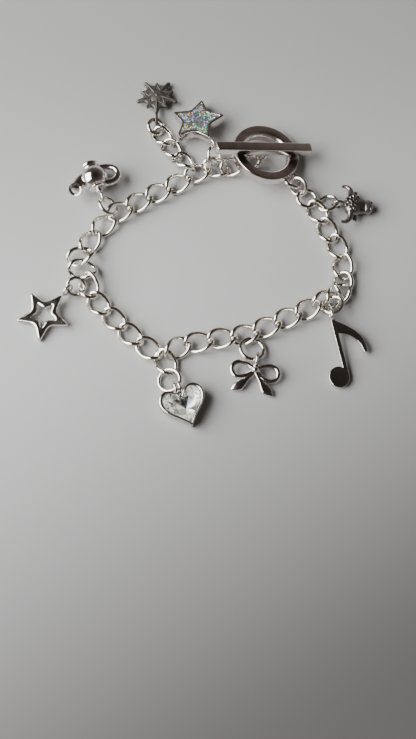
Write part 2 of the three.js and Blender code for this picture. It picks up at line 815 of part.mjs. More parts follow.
function bullHead() {
  const start = bailReach;
  const half = BULL_BREADTH / 2;
  const depth = BULL_DEPTH / 2;
  const head = loft(
    BULL_SECTIONS.map(([along, wide, deep, rise]) =>
      oval(start + BULL_LENGTH * along, half * wide, depth * deep, rise),
    ),
  );
  const parts = [head, bailGeometry()];
  const spread = BULL_HORN_SPREAD / 2;
  const [earRoot, earTip] = BULL_EAR;
  const [curlAlong, curlAside, curlUp] = BULL_CURL_AT;
  for (const side of [1, -1]) {
    const hornPoint = ([along, out, up]) => [start + along, side * spread * out, up];
    const horn = through(...BULL_HORN_LINE.map(hornPoint));
    parts.push(taper(horn, BULL_HORN / 2, BULL_HORN_TIP));
    const ear = through(
      [start + earRoot, side * half * BULL_EAR_INSET, 0],
      [start + earTip, side * (half + BULL_EAR_REACH), BULL_EAR_DROP],
    );
    parts.push(taper(ear, BULL_EAR_ROOT, BULL_HORN_TIP, EAR_STEPS));
    const curl = new THREE.SphereGeometry(BULL_CURL, ...BALL_STEPS).scale(...BULL_CURL_SHAPE);
    parts.push(curl.translate(start + curlAlong, side * curlAside, depth * curlUp));
  }
  return join(...parts);
}

// The teapot hangs by its lid and lies on its side, its foot at the far end.
function teapot() {
  const top = bailReach;
  const belly = TEAPOT_BELLY / 2;
  const body = loft([
    oval(top, TEAPOT_NECK, TEAPOT_NECK),
    ...TEAPOT_SECTIONS.map(([along, wide]) =>
      oval(top + TEAPOT_HEIGHT * along, belly * wide, belly * wide),
    ),
  ]);
  const middle = top + TEAPOT_HEIGHT * TEAPOT_MIDDLE;
  const bend = (line, reach) =>
    through(...line.map(([along, out]) => [middle + TEAPOT_HEIGHT * along, reach * out, 0]));
  const spoutLine = bend(TEAPOT_SPOUT_LINE, TEAPOT_SPOUT_REACH);
  const boreLine = bend(TEAPOT_BORE_LINE, TEAPOT_SPOUT_REACH);
  const handleLine = bend(TEAPOT_HANDLE_LINE, -TEAPOT_HANDLE_REACH);
  const boreRadius = TEAPOT_SPOUT / 2 - TEAPOT_SPOUT_WALL;
  const spout = taper(spoutLine, TEAPOT_SPOUT / 2, TEAPOT_SPOUT / 2, SPOUT_STEPS, SPOUT_SIDES);
  const bore = taper(boreLine, boreRadius, boreRadius, EAR_STEPS);
  const half = TEAPOT_HANDLE / 2;
  const handle = taper(handleLine, half, half, HANDLE_STEPS, WIRE_SIDES);
  return join(cut(join(body, spout, handle), bore), bailGeometry());
}

function spikyStar() {
  const tip = SPIKY_STAR_SIZE / 2;
  const turnOf = (arm) => Math.PI + (arm / STAR_TIPS) * 2 * Math.PI;
  const turns = Array.from({ length: STAR_TIPS }, (_, arm) => turnOf(arm));
  const points = turns.flatMap((turn) =>
    SPIKY_STAR_OUTLINE.map(([aside, share]) => towards(turn + aside, tip * share)),
  );
  const parts = [plate(shapeOf(points), SPIKY_STAR_THICKNESS, SPIKY_STAR_ROUNDING)];
  for (const turn of turns.slice(1)) {
    const ball = new THREE.SphereGeometry(SPIKY_STAR_BALL / 2, ...BALL_STEPS);
    const at = towards(turn, tip - SPIKY_STAR_BALL / 2);
    parts.push(ball.translate(at.x, at.y, 0));
  }
  const boss = new THREE.SphereGeometry(tip * SPIKY_STAR_BOSS, ...BOSS_STEPS);
  parts.push(boss.scale(1, 1, SPIKY_STAR_BOSS_HEIGHT));
  return join(join(...parts).translate(tip + bailReach, 0, 0), bailGeometry());
}

// The toggle ring: a band with rounded edges turned about Z, and its cast loop, which is
// drawn out to three soft corners.
class CornerLine extends RingLine {
  getPoint(t) {
    const turn = t * 2 * Math.PI;
    const reach = this.radius * (1 + CLASP_LOOP_DRAWN * Math.cos(CLASP_LOOP_CORNERS * turn));
    return plan(reach * Math.cos(turn), reach * Math.sin(turn), 0);
  }
}

function bandProfile() {
  const outer = CLASP_RING_SIZE / 2;
  const inner = outer - CLASP_RING_BAND;
  const half = CLASP_RING_THICKNESS / 2;
  const round = CLASP_RING_ROUNDING;
  const soft = round * CLASP_SOFTNESS;
  return [
    [inner, -half + round],
    [inner + soft, -half + soft],
    [inner + round, -half],
    [outer - round, -half],
    [outer - soft, -half + soft],
    [outer, -half + round],
    [outer, half - round],
    [outer - soft, half - soft],
    [outer - round, half],
    [inner + round, half],
    [inner + soft, half - soft],
    [inner, half - round],
    [inner, -half + round],
  ].map(([radius, height]) => new THREE.Vector2(radius, height));
}

const claspLoopLine = new CornerLine((CLASP_LOOP_SIZE - CLASP_LOOP_WIRE) / 2);
const claspLoopReach = CLASP_RING_SIZE / 2 + CLASP_LOOP_SIZE / 2 - CLASP_LOOP_WIRE;
const claspLoopTurn = new THREE.Quaternion().setFromAxisAngle(UP, CLASP_LOOP_TURN);

function toggleRing() {
  const band = new THREE.LatheGeometry(bandProfile(), CLASP_STEPS).rotateX(Math.PI / 2);
  const loop = wireGeometry(claspLoopLine, CLASP_LOOP_WIRE, BAIL_STEPS);
  loop.translate(claspLoopReach, 0, 0).rotateZ(CLASP_LOOP_TURN);
  return join(band, loop);
}

// The bar along X with rounded edges and ends; its shank loop hangs below its middle.
function barSection(x, inset) {
  const halfWidth = BAR_WIDTH / 2 - inset;
  const halfHeight = BAR_THICKNESS / 2 - inset;
  const round = BAR_ROUNDING;
  return [
    [halfWidth, -halfHeight + round],
    [halfWidth, halfHeight - round],
    [halfWidth - round, halfHeight],
    [-halfWidth + round, halfHeight],
    [-halfWidth, halfHeight - round],
    [-halfWidth, -halfHeight + round],
    [-halfWidth + round, -halfHeight],
    [halfWidth - round, -halfHeight],
  ].map(([y, z]) => plan(x, y, z));
}

const shankRadius = (SHANK_SIZE - SHANK_WIRE) / 2;
const shankDrop = BAR_THICKNESS / 2 + shankRadius - SHANK_WIRE * SHANK_SET;

function toggleBar() {
  const end = BAR_LENGTH / 2;
  const bar = loft([
    barSection(-end, BAR_ROUNDING),
    barSection(-end + BAR_ROUNDING, 0),
    barSection(end - BAR_ROUNDING, 0),
    barSection(end, BAR_ROUNDING),
  ]);
  const shank = wireGeometry(new RingLine(shankRadius), SHANK_WIRE, BAIL_STEPS);
  return join(bar, shank.rotateX(Math.PI / 2).translate(0, 0, -shankDrop));
}

// The clasp's frame: the ring's middle, at the height where the tipped ring's lowest edge
// touches the surface.
const claspTurn = new THREE.Quaternion().setFromEuler(
  new THREE.Euler(-CLASP_NEAR_UP, CLASP_LEFT_UP, 0),
);
const toggleRingGeometry = toggleRing();
const claspAt = plan(
  CLASP_AT[0] * PITCH,
  CLASP_AT[1] * PITCH,
  -lowestOf(toggleRingGeometry, claspTurn),
);

function lowestOf(geometry, turn) {
  const turned = geometry.clone().applyQuaternion(turn);
  turned.computeBoundingBox();
  return turned.boundingBox.min.z;
}

function onClasp(x, y, z) {
  return plan(x, y, z).applyQuaternion(claspTurn).add(claspAt);
}

// The bar lies across the ring's top face, its shank in the ring's hole.
const barHeight = (CLASP_RING_THICKNESS + BAR_THICKNESS) / 2 + SEAT_GAP;
const barAt = onClasp(BAR_SHIFT[0], BAR_SHIFT[1], barHeight);
const shankAt = onClasp(BAR_SHIFT[0], BAR_SHIFT[1], barHeight - shankDrop);
const claspLoopAt = onClasp(...towards(CLASP_LOOP_TURN, claspLoopReach).toArray());
const barTurn = claspTurn.clone().multiply(new THREE.Quaternion().setFromAxisAngle(UP, BAR_TURN));
const quarterTurn = new THREE.Quaternion().setFromAxisAngle(plan(1, 0, 0), Math.PI / 2);

// The clasp's pieces as fixed wires, which the chain is laid round.
class BarLine extends THREE.Curve {
  getPoint(t) {
    return plan((Math.abs(2 * t - 1) - 0.5) * (BAR_LENGTH - BAR_WIDTH), 0, 0);
  }
}

const bandRadius = (CLASP_RING_SIZE - CLASP_RING_BAND) / 2;
const fixedWires = [
  wirePiece("ring_band", new RingLine(bandRadius), CLASP_RING_BAND, claspAt, claspTurn, true),
  wirePiece(
    "ring_loop",
    claspLoopLine,
    CLASP_LOOP_WIRE,
    claspLoopAt,
    claspTurn.clone().multiply(claspLoopTurn),
    true,
  ),
  wirePiece("bar", new BarLine(), BAR_WIDTH, barAt, barTurn, true),
  wirePiece(
    "shank",
    new RingLine(shankRadius),
    SHANK_WIRE,
    shankAt,
    barTurn.clone().multiply(quarterTurn),
    true,
  ),
];

// The chain, laid along its route from joint to joint.
const linkHeight = LINK_WIDTH / 4;

function leanOf(number) {
  const next = Math.max(1, LEAN.findIndex((stop) => stop.link >= number));
  const [from, to] = [LEAN[next - 1], LEAN[next]];
  const share = (number - from.link) / (to.link - from.link);
  return (from.lean + (to.lean - from.lean) * share) * DEG;
}

function onRoute([x, y]) {
  return plan(x * PITCH, y * PITCH, linkHeight);
}

function linkName(number) {
  return `link_${String(number).padStart(2, "0")}`;
}

function layChain() {
  const route = new THREE.CatmullRomCurve3(
    [claspLoopAt, ...ROUTE.map(onRoute), shankAt],
    false,
    "centripetal",
  );
  const numbers = Array.from({ length: LINK_COUNT }, (_, i) => i + 1);
  const order = ["loop_link", "round_ring", ...numbers];
  const share = (key) => SLACK[key] ?? 1;
  const total = order.reduce((sum, key) => sum + share(key), 0);
  let gone = 0;
  return order.map((key) => {
    const from = route.getPointAt(gone / total);
    gone += share(key);
    const to = route.getPointAt(Math.min(1, gone / total));
    const direction = heading(from, to);
    const middle = from.clone().add(to).multiplyScalar(0.5);
    if (key === "loop_link") {
      const line = new RingLine((LOOP_LINK_SIZE - LINK_WIRE) / 2);
      return wirePiece(key, line, LINK_WIRE, middle, lying(direction, Math.PI / 2));
    }
    if (key === "round_ring") {
      const line = new RingLine((ROUND_RING_SIZE - LINK_WIRE) / 2);
      return wirePiece(key, line, LINK_WIRE, middle, lying(direction));
    }
    const across = ACROSS[key] ?? { turn: 0, out: 0 };
    middle.add(towards(direction + Math.PI / 2, across.out * LINK_LENGTH));
    const tip = Math.atan2(to.z - from.z, Math.hypot(to.x - from.x, to.y - from.y));
    const turn = lying(direction + across.turn * DEG, leanOf(key), tip);
    return wirePiece(linkName(key), new CurbLine(), LINK_WIRE, middle, turn);
  });
}

function layExtender() {
  const joints = EXTENDER_ROUTE.map(onRoute);
  return joints.slice(1).map((to, i) => {
    const middle = joints[i].clone().add(to).multiplyScalar(0.5);
    const turn = lying(heading(joints[i], to), EXTENDER_LEAN);
    return wirePiece(`extender_${i + 1}`, new CurbLine(), LINK_WIRE, middle, turn);
  });
}

const links = [...layChain(), ...layExtender()];

// Each charm rests with its lowest point on the surface, its bail raised.
const CHARM_FORMS = {
  heart: { heart_bezel: heartBezel, heart_crystal: heartCrystal },
  bow: { bow },
  note: { note },
  bull: { bull_head: bullHead },
  teapot: { teapot },
  open_star: { open_star: openStar },
  glitter_star: { glitter_star_tray: glitterTray, glitter_star_inlay: glitterInlay },
  snowflake: { snowflake: spikyStar },
};
const FINISHES = {
  heart_bezel: DARK_SILVER,
  heart_crystal: CRYSTAL,
  bow: DARK_SILVER,
  note: DARK_SILVER,
  bull_head: ANTIQUE_SILVER,
  teapot: DARK_SILVER,
  open_star: DARK_SILVER,
  glitter_star_tray: DARK_SILVER,
  glitter_star_inlay: GLITTER,
  snowflake: ANTIQUE_SILVER,
};

const group = new THREE.Group();
const rings = [];
const bails = [];

for (const [name, charm] of Object.entries(CHARMS)) {
  const link = links.find((piece) => piece.name === charm.on);
  const ringRadius = (charm.ring - JUMP_WIRE) / 2;
  const reach = (LINK_WIDTH - LINK_WIRE) / 2 + ringRadius * charm.pull;
  const ringAt = link.home.clone().add(towards(charm.from * DEG, reach));
  const bailOut = ringRadius + bailRadius * 0.3;
  const bailAt = ringAt.clone().add(towards(charm.hook * DEG, bailOut));
  const turn = lying(charm.hang * DEG, 0, -charm.tip * DEG);
  const forms = Object.entries(CHARM_FORMS[name]).map(([node, form]) => [node, form()]);
  bailAt.z = Math.max(...forms.map(([, geometry]) => -lowestOf(geometry, turn)));
  for (const [node, geometry] of forms) {
    const mesh = meshOf(node, geometry, FINISHES[node]);
    mesh.position.copy(bailAt);
    mesh.quaternion.copy(turn);
    group.add(mesh);
  }
  const bailTurned = turn.clone().multiply(
    new THREE.Quaternion().setFromAxisAngle(plan(1, 0, 0), BAIL_TURN),
  );
  bails.push(wirePiece(`bail_${name}`, new RingLine(bailRadius), BAIL_WIRE, bailAt, bailTurned, true));
  ringAt.z = (link.home.z + bailAt.z) / 2;
  const ringTip = Math.atan2(bailAt.z - link.home.z, 2 * ringRadius);
  const ringTurn = lying(heading(link.home, bailAt), charm.lean * DEG, ringTip);
  const line = new RingLine(ringRadius);
  rings.push(wirePiece(`ring_${name}`, line, JUMP_WIRE, ringAt, ringTurn));
}

settle([...fixedWires, ...bails, ...links, ...rings]);

for (const piece of links) group.add(placed(piece.name, piece, LINK_STEPS, SILVER));
for (const piece of rings) group.add(placed(piece.name, piece, RING_STEPS, SILVER));

const ringMesh = meshOf("toggle_ring", toggleRingGeometry, DARK_SILVER);
ringMesh.position.copy(claspAt);
ringMesh.quaternion.copy(claspTurn);
const barMesh = meshOf("toggle_bar", toggleBar(), DARK_SILVER);
barMesh.position.copy(barAt);
barMesh.quaternion.copy(barTurn);
group.add(ringMesh, barMesh);

// The origin goes to the middle of the underside.
const whole = new THREE.Box3().setFromObject(group, true);
const middle = whole.getCenter(new THREE.Vector3());
group.position.set(-middle.x, -middle.y, -whole.min.z);

export default group;
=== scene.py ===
# Charm bracelet lying closed on a pale surface: smooth bright links and rings, a polished
# toggle clasp and cast charms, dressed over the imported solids.

import math

import bmesh
import bpy
import numpy as np
from mathutils import Euler, Matrix, Vector


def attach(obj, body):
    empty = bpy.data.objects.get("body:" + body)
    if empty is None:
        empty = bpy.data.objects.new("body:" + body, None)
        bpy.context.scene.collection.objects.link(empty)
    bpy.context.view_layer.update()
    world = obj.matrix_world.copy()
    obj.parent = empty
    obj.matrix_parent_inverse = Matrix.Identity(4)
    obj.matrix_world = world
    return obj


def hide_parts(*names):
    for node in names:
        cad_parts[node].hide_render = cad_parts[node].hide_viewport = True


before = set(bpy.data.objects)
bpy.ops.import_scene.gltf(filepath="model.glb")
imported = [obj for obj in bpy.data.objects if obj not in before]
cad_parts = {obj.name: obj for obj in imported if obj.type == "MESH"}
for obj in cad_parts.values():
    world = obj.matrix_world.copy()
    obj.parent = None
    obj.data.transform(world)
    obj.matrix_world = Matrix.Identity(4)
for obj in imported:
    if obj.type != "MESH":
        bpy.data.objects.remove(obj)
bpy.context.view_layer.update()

MM = 0.001

# Sizes, in millimetres. A wire's body is as thick as it looks, and its line is bent as if
# from the thinner wire of the solids.
LINK_LENGTH = 7.5
LINK_WIDTH = 5.4
LINK_WIRE = 0.8
LINK_BODY = 1.04
LINK_TWIST = math.radians(88)
LINK_FULLNESS = 2.25
LINK_STEPS = 72
RING_WIRE = 0.8
RING_BODY = 0.98
RING_SPLIT = math.radians(1.4)
RING_STEPS = 60
NEXT_SPLIT = 1.1
WIRE_SIDES = 14
WIRE_LIFT = 0.1
BAIL_SIZE = 3.6
BAIL_WIRE = 0.7
BAIL_REACH = (BAIL_SIZE - BAIL_WIRE) / 2
BAIL_STEPS = 40

# The toggle. A point of its ring's section lies along the band, from the inner edge where
# the number is positive and otherwise from the outer one, and above the underside or below
# the top. The bar's ends are drawn in by the second number at the first one from the end.
CLASP_RING = 17.4
CLASP_BAND = 3.1
CLASP_THICKNESS = 2.8
CLASP_FOOT = (
    (0.05, 0.9), (0.2, 0.35), (0.55, 0.06), (1.0, 0.0),
    (-0.8, 0.0), (-0.32, 0.1), (-0.08, 0.36), (0.0, 0.8),
)
CLASP_TOP = (
    (0.0, 0.62), (-0.04, 0.34), (-0.16, 0.14), (-0.36, 0.02), (-0.6, 0.0),
    (1.15, 0.0), (0.85, 0.05), (0.5, 0.28), (0.2, 0.7), (0.03, 1.15),
)
CLASP_STEPS = 120
CLASP_LOOP = 4.6
CLASP_LOOP_WIRE = 1.0
CLASP_LOOP_TURN = math.radians(-44)
CLASP_LOOP_CORNERS = 3
CLASP_LOOP_DRAWN = 0.1
BAR_LENGTH = 25.6
BAR_WIDTH = 2.7
BAR_THICKNESS = 2.3
BAR_ROUNDING = 0.5
BAR_ENDS = ((0.0, 0.4), (0.08, 0.2), (0.25, 0.06), (0.45, 0.0))
SHANK = 4.2
SHANK_WIRE = 0.9
SHANK_SET = 0.2

# The two five-pointed stars. A notch is a share of the tip's reach. A level of the tray or
# its filling has its height from the foot or the rim, and its share of the outline.
STAR_TIPS = 5
OPEN_STAR = 14.2
OPEN_STAR_NOTCH = 0.44
OPEN_STAR_BAND = 1.35
OPEN_STAR_THICKNESS = 1.5
OPEN_STAR_ROUNDING = 0.55
OPEN_STAR_CORNER = 1.3
OPEN_STAR_HOLE_CORNER = 0.8
GLITTER_STAR = 14.6
GLITTER_STAR_NOTCH = 0.53
GLITTER_STAR_HEIGHT = 2.6
GLITTER_STAR_RIM = 0.55
GLITTER_STAR_CORNERS = (0.9, 0.7)
GLITTER_DEPTH = 0.35
TRAY_FOOT = ((0.0, 0.95), (0.12, 0.985), (0.4, 1.0))
TRAY_RIM = ((0.22, 1.0), (0.06, 0.99), (0.0, 0.965))
TRAY_INSIDE = ((0.0, 1.02), (0.08, 1.0), (GLITTER_DEPTH, 1.0))
FILLING_LEVELS = ((GLITTER_DEPTH - 0.01, 0.985), (0.14, 0.985), (0.06, 0.93), (0.02, 0.6))
FLAKE = 0.64
FLAKE_DENSITY = 4.5e7
FLAKE_TILT = 0.2

# The heart. A level of its cup is drawn in by the first number, at a height from the foot or
# the rim. A row of facets has its share of the outline and its height from the girdle.
HEART = 11.0
HEART_UNITS = 32
HEART_SOFTNESS = 0.22
HEART_FLANK = 0.31
HEART_NOTCH = 7
HEART_HEIGHT = 3.1
HEART_RIM = 0.6
HEART_FROM_BAIL = 4.97
CUP_FOOT = ((0.75, 0.0), (0.3, 0.12), (0.05, 0.5), (0.0, 0.9))
CUP_RIM = (
    (0.14, 0.95), (0.0, 0.6), (0.0, 0.25), (0.1, 0.06), (0.25, 0.0),
    (0.42, 0.04), (0.55, 0.22), (0.6, 0.5), (0.62, 1.3), (1.6, 2.3),
)
HEART_BAIL_WIRE = 0.78
HEART_BAIL_LOBES = (-0.5, 0.5)
STONE_CENTRE = (0.7, 0.1)
STONE_FACETS = 24
STONE_GIRDLE = 0.32
STONE_PULL = (1.03, 0.93)
CROWN_ROWS = ((1.0, 0.0), (0.86, 0.45), (0.55, 0.72))
FOIL_ROWS = ((1.0, 0.0, 0), (0.8, -0.38, 1), (0.55, -0.72, 0))
FOIL_GAP = 0.03
FOIL_DEPTH = 1.15
FOIL_SHEET = 0.25

# The bow. A section of a tail gives its place along it, half width, half depth, rise and lean.
BOW = 12.4
BOW_RIBBON = 1.25
BOW_LOOP_SWING = math.radians(84)
BOW_LOOP_FULLNESS = 0.43
BOW_LOOP_WAVE = 0.12
BOW_TAIL = 7.0
BOW_TAIL_SWING = math.radians(34)
BOW_TAIL_SECTIONS = (
    (0.0, 0.40, 0.36, 0.05, 0.0),
    (0.3, 0.36, 0.34, 0.12, 0.0),
    (0.48, 0.46, 0.36, 0.12, 0.05),
    (0.62, 0.80, 0.42, 0.10, 0.15),
    (0.8, 0.98, 0.42, 0.04, 0.3),
    (0.92, 0.74, 0.38, -0.06, 0.55),
    (1.04, 0.16, 0.28, -0.16, 0.95),
)

# The note: the points of its flag's outer edge from the bail's end, and of its inner edge back.
NOTE = 18.4
NOTE_THICKNESS = 1.2
NOTE_ROUNDING = 0.16
NOTE_STEM = 1.1
NOTE_HEAD = (5.3, 4.9)
FLAG_ROUNDING = 0.12
FLAG_OUTER = ((0, 0), (1.6, 2.2), (3.5, 4.4), (5.6, 5.8), (7.9, 6.3), (9.6, 6.2))
FLAG_INNER = ((9.5, 5.5), (7.1, 4.9), (5.2, 3.5), (4.1, 1.9), (3.6, 0))

# The bull's head. A section gives its place along the head, half breadth, half depth and
# rise. A point of an ear gives its place along the head, beyond its side and up, and its
# radius. An eye, a brow and a nostril give theirs, with a stretch and a turn.
BULL = (7.4, 6.0, 4.2)
BULL_SECTIONS = (
    (0.0, 0.4, 0.45, 0.0), (0.05, 0.68, 0.7, 0.0), (0.12, 0.86, 0.86, 0.05),
    (0.22, 0.98, 0.97, 0.05), (0.34, 0.99, 1.0, 0.0), (0.45, 0.88, 0.86, -0.1),
    (0.56, 0.74, 0.72, -0.18), (0.66, 0.66, 0.62, -0.26), (0.76, 0.6, 0.56, -0.3),
    (0.86, 0.5, 0.44, -0.3),
)
BULL_HORN_SPREAD = 10.2
BULL_HORN_ROOT = 0.92
BULL_HORN_THINNING = 0.62
BULL_EAR = (
    (2.3, -0.9, 0.1, 0.5), (2.6, 0.35, 0.0, 0.75),
    (2.95, 0.85, -0.15, 0.6), (3.15, 1.2, -0.3, 0.2),
)
BULL_RELIEF = (
    (3.3, 1.5, 1.302, 0.48, (1.15, 0.85, 0.8), 0.0),
    (2.85, 1.6, 1.554, 0.55, (1.5, 0.6, 0.5), 0.5),
    (6.75, 0.85, 0.75, 0.42, (0.9, 0.9, 0.7), 0.0),
)
BULL_CURLS = 13
CURL_TURN = 2.4
CURL_STEP = 0.46

# The teapot: its turned body from the lid to the foot, as shares of its height and belly,
# and its spout's mouth, a radius and a step along the way it faces.
TEAPOT = 8.6
TEAPOT_BELLY = 6.8
TEAPOT_SPOUT = 5.8
TEAPOT_HANDLE = 6.0
TEAPOT_MIDDLE = 0.55
TEAPOT_BODY = (
    (0.0, 0.1), (0.015, 0.2), (0.04, 0.27), (0.08, 0.27), (0.105, 0.2), (0.125, 0.22),
    (0.14, 0.46), (0.165, 0.58), (0.185, 0.61), (0.2, 0.6), (0.21, 0.56), (0.222, 0.62),
    (0.24, 0.7), (0.3, 0.84), (0.38, 0.95), (0.46, 1.0), (0.54, 1.0), (0.62, 0.97),
    (0.7, 0.88), (0.78, 0.76), (0.845, 0.64), (0.87, 0.585), (0.89, 0.6), (0.91, 0.67),
    (0.94, 0.7), (0.985, 0.7), (1.0, 0.67),
)
SPOUT_MOUTH = (
    (1.4, -1.3), (1.5, -0.7), (1.6, 0.0), (1.68, 0.14),
    (1.6, 0.26), (1.36, 0.2), (1.28, 0.0), (1.2, -0.9),
)
LID_BEADS = 20
LID_BEAD = 0.24

# The spiky star. One of its five arms, in degrees round and shares of the reach, and the
# arm's rib, in shares of the reach and radii.
SNOWFLAKE = 11.2
SNOWFLAKE_THICKNESS = 1.2
SPIKE_OUTLINE = ((-3.2, 0.97), (3.2, 0.97), (10, 0.66), (22, 0.6), (36, 0.82), (50, 0.6), (62, 0.66))
SPIKE_RIB = ((0.2, 0.26), (0.45, 0.23), (0.7, 0.2), (0.86, 0.14))

# How the charms lie, by their solids: where each points and how far its bail's end is
# raised, in degrees. The toggle is raised at its near side and its left, and the bar turned.
HANGS = {
    "heart_bezel": (-69, 3),
    "bow": (-100, 6),
    "note": (-78, 5),
    "bull_head": (-4, 4),
    "teapot": (111, 2),
    "open_star": (-132, 6),
    "glitter_star_tray": (117, 12),
    "snowflake": (90, 4),
}
CLASP_NEAR_UP = 8
CLASP_LEFT_UP = 14.5
BAR_TURN = 10.8


# Shader and node arithmetic written as plain expressions.
def plug(tree, slot, item):
    """Links a socket to a value or a socket, or sets it to a number, vector or colour."""
    if isinstance(item, Value):
        item = item.socket
    if isinstance(item, bpy.types.NodeSocket):
        tree.links.new(item, slot)
    elif isinstance(item, tuple) and len(slot.default_value) > len(item):
        slot.default_value = (*item, 1.0)
    else:
        slot.default_value = item


class Value:
    """A number that comes out of a node."""

    def __init__(self, tree, socket):
        self.tree = tree
        self.socket = socket

    def math(self, operation, *others, first=None):
        """This number through one Math node, before the others or after a first one."""
        node = self.tree.nodes.new("ShaderNodeMath")
        node.operation = operation
        items = (self, *others) if first is None else (first, self)
        for slot, item in zip(node.inputs, items):
            plug(self.tree, slot, item)
        return Value(self.tree, node.outputs[0])

    def __add__(self, other):
        return self.math("ADD", other)

    def __radd__(self, other):
        return self.math("ADD", first=other)

    def __sub__(self, other):
        return self.math("SUBTRACT", other)

    def __rsub__(self, other):
        return self.math("SUBTRACT", first=other)

    def __mul__(self, other):
        return self.math("MULTIPLY", other)

    def __rmul__(self, other):
        return self.math("MULTIPLY", first=other)

    def __truediv__(self, other):
        return self.math("DIVIDE", other)

    def __pow__(self, other):
        return self.math("POWER", other)

    def clamped(self):
        return self.math("MAXIMUM", 0.0).math("MINIMUM", 1.0)

    def step(self, low, high):
        """0 below low and 1 above high, smooth between."""
        t = ((self - low) / (high - low)).clamped()
        return t * t * (3.0 - 2.0 * t)


class Nodes:
    """A node tree being put together."""

    def __init__(self, tree):
        self.tree = tree

    def add(self, kind, settings=None, sockets=None):
        node = self.tree.nodes.new(kind)
        for name, value in (settings or {}).items():
            if name == "stops":
                self.set_stops(node.color_ramp.elements, value)
            else:
                setattr(node, name, value)
        for name, value in (sockets or {}).items():
            plug(self.tree, node.inputs[name], value)
        return node

    @staticmethod
    def set_stops(elements, stops):
        while len(elements) < len(stops):
            elements.new(0.5)
        for element, (position, colour) in zip(elements, stops):
            element.position = position
            element.color = (*colour, 1.0)

    def value(self, socket):
        return Value(self.tree, socket)

    def parts(self, vector):
        """The three numbers of a vector."""
        split = self.add("ShaderNodeSeparateXYZ", None, {"Vector": vector})
        return [self.value(part) for part in split.outputs]

    def ramp(self, share, stops):
        return self.add("ShaderNodeValToRGB", {"stops": stops}, {"Fac": share}).outputs[0]


class Finish(Nodes):
    """A material being put together round one Principled shader."""

    def __init__(self, name, **constants):
        self.material = bpy.data.materials.new(name)
        self.material.use_nodes = True
        super().__init__(self.material.node_tree)
        self.shader = self.tree.nodes["Principled BSDF"]
        for key, constant in constants.items():
            self.shader.inputs[key.replace("_", " ")].default_value = constant
        self.place = self.add("ShaderNodeTexCoord").outputs["Object"]

    def noise(self, scale, detail=3.0, roughness=0.55, stretch=None, distortion=0.0):
        """Cloudy noise, scale in features per millimetre."""
        place = self.place
        if stretch:
            place = self.add("ShaderNodeMapping", None, {"Vector": place, "Scale": stretch}).outputs[0]
        sockets = {
            "Vector": place,
            "Scale": scale / MM,
            "Detail": detail,
            "Roughness": roughness,
            "Distortion": distortion,
        }
        return self.value(self.add("ShaderNodeTexNoise", None, sockets).outputs[0])

    def grains(self, scale):
        """Grains, scale to a millimetre: two numbers of each one's own, and the way to its middle."""
        cells = self.add("ShaderNodeTexVoronoi", None, {"Vector": self.place, "Scale": scale / MM})
        split = self.add("ShaderNodeSeparateColor", None, {"Color": cells.outputs["Color"]})
        return [self.value(part) for part in (*split.outputs[:2], cells.outputs["Distance"])]

    def attribute(self, name):
        node = self.add("ShaderNodeAttribute", {"attribute_name": name})
        return self.value(node.outputs["Fac"])

    def mix(self, share, first, second):
        return self.add("ShaderNodeMix", {"data_type": "RGBA"}, {0: share, 6: first, 7: second}).outputs[2]

    def feed(self, name, source):
        plug(self.tree, self.shader.inputs[name], source)

    def bump(self, height, depth_mm, strength=1.0):
        sockets = {"Height": height, "Distance": depth_mm * MM, "Strength": strength}
        self.feed("Normal", self.add("ShaderNodeBump", None, sockets).outputs[0])


# The finishes.
def polished_plate(name, bright, dull, gloss, spread, scratch=0.004, hollow=None, worn=()):
    """Plated metal: faint tarnish clouds, fine scratches, darkened hollows and painted dark spots: painted
    shade in the teapot's spout and a painted dark reflection on the toggle's ring.
    """
    finish = Finish(name, Metallic=1.0)
    cloud = finish.noise(0.35, detail=4.0)
    fine = finish.noise(3.2)
    tarnish = (cloud * 0.7 + fine * 0.3).step(0.42, 0.72)
    colour = finish.mix(tarnish, bright, dull)
    roughness = gloss + spread * fine + 0.4 * spread * tarnish
    if hollow:
        dark, depth = hollow
        hollows = (finish.attribute("hollow") + (fine - 0.5) * 0.35).step(*depth)
        colour = finish.mix(hollows, colour, dark)
        roughness = roughness + hollows * 0.32
        finish.feed("Metallic", 1.0 - hollows * 0.55)
    # Painted dark spots, mixed into the colour: painted shade and painted dark reflection.
    for x, y, z, reach in worn:
        ends = {0: finish.place, 1: (x * MM, y * MM, z * MM)}
        spot = finish.add("ShaderNodeVectorMath", {"operation": "DISTANCE"}, ends)
        away = finish.value(spot.outputs["Value"]) / MM + (fine - 0.5) * 2.0
        colour = finish.mix((1.0 - away.step(0.0, reach)) * 0.92, colour, PAINTED_DARK_SPOT)
    finish.feed("Base Color", colour)
    finish.feed("Roughness", roughness)
    scratches = finish.noise(2.4, detail=2.0, roughness=0.6, stretch=(1.0, 9.0, 1.0), distortion=0.4)
    pits = finish.noise(1.1, detail=2.0)
    finish.bump(scratches * 0.5 + pits, scratch)
    return finish.material


def facet_glass(name):
    """Clear crystal with a trace of cool tint and faint polish marks."""
    finish = Finish(name, Roughness=0.012, IOR=1.56, Transmission_Weight=1.0)
    haze = finish.noise(0.5, detail=2.0)
    finish.feed("Base Color", finish.mix(haze, (0.97, 0.985, 1.0), (0.93, 0.95, 0.955)))
    finish.bump(finish.noise(1.6, detail=1.0), 0.0012)
    return finish.material


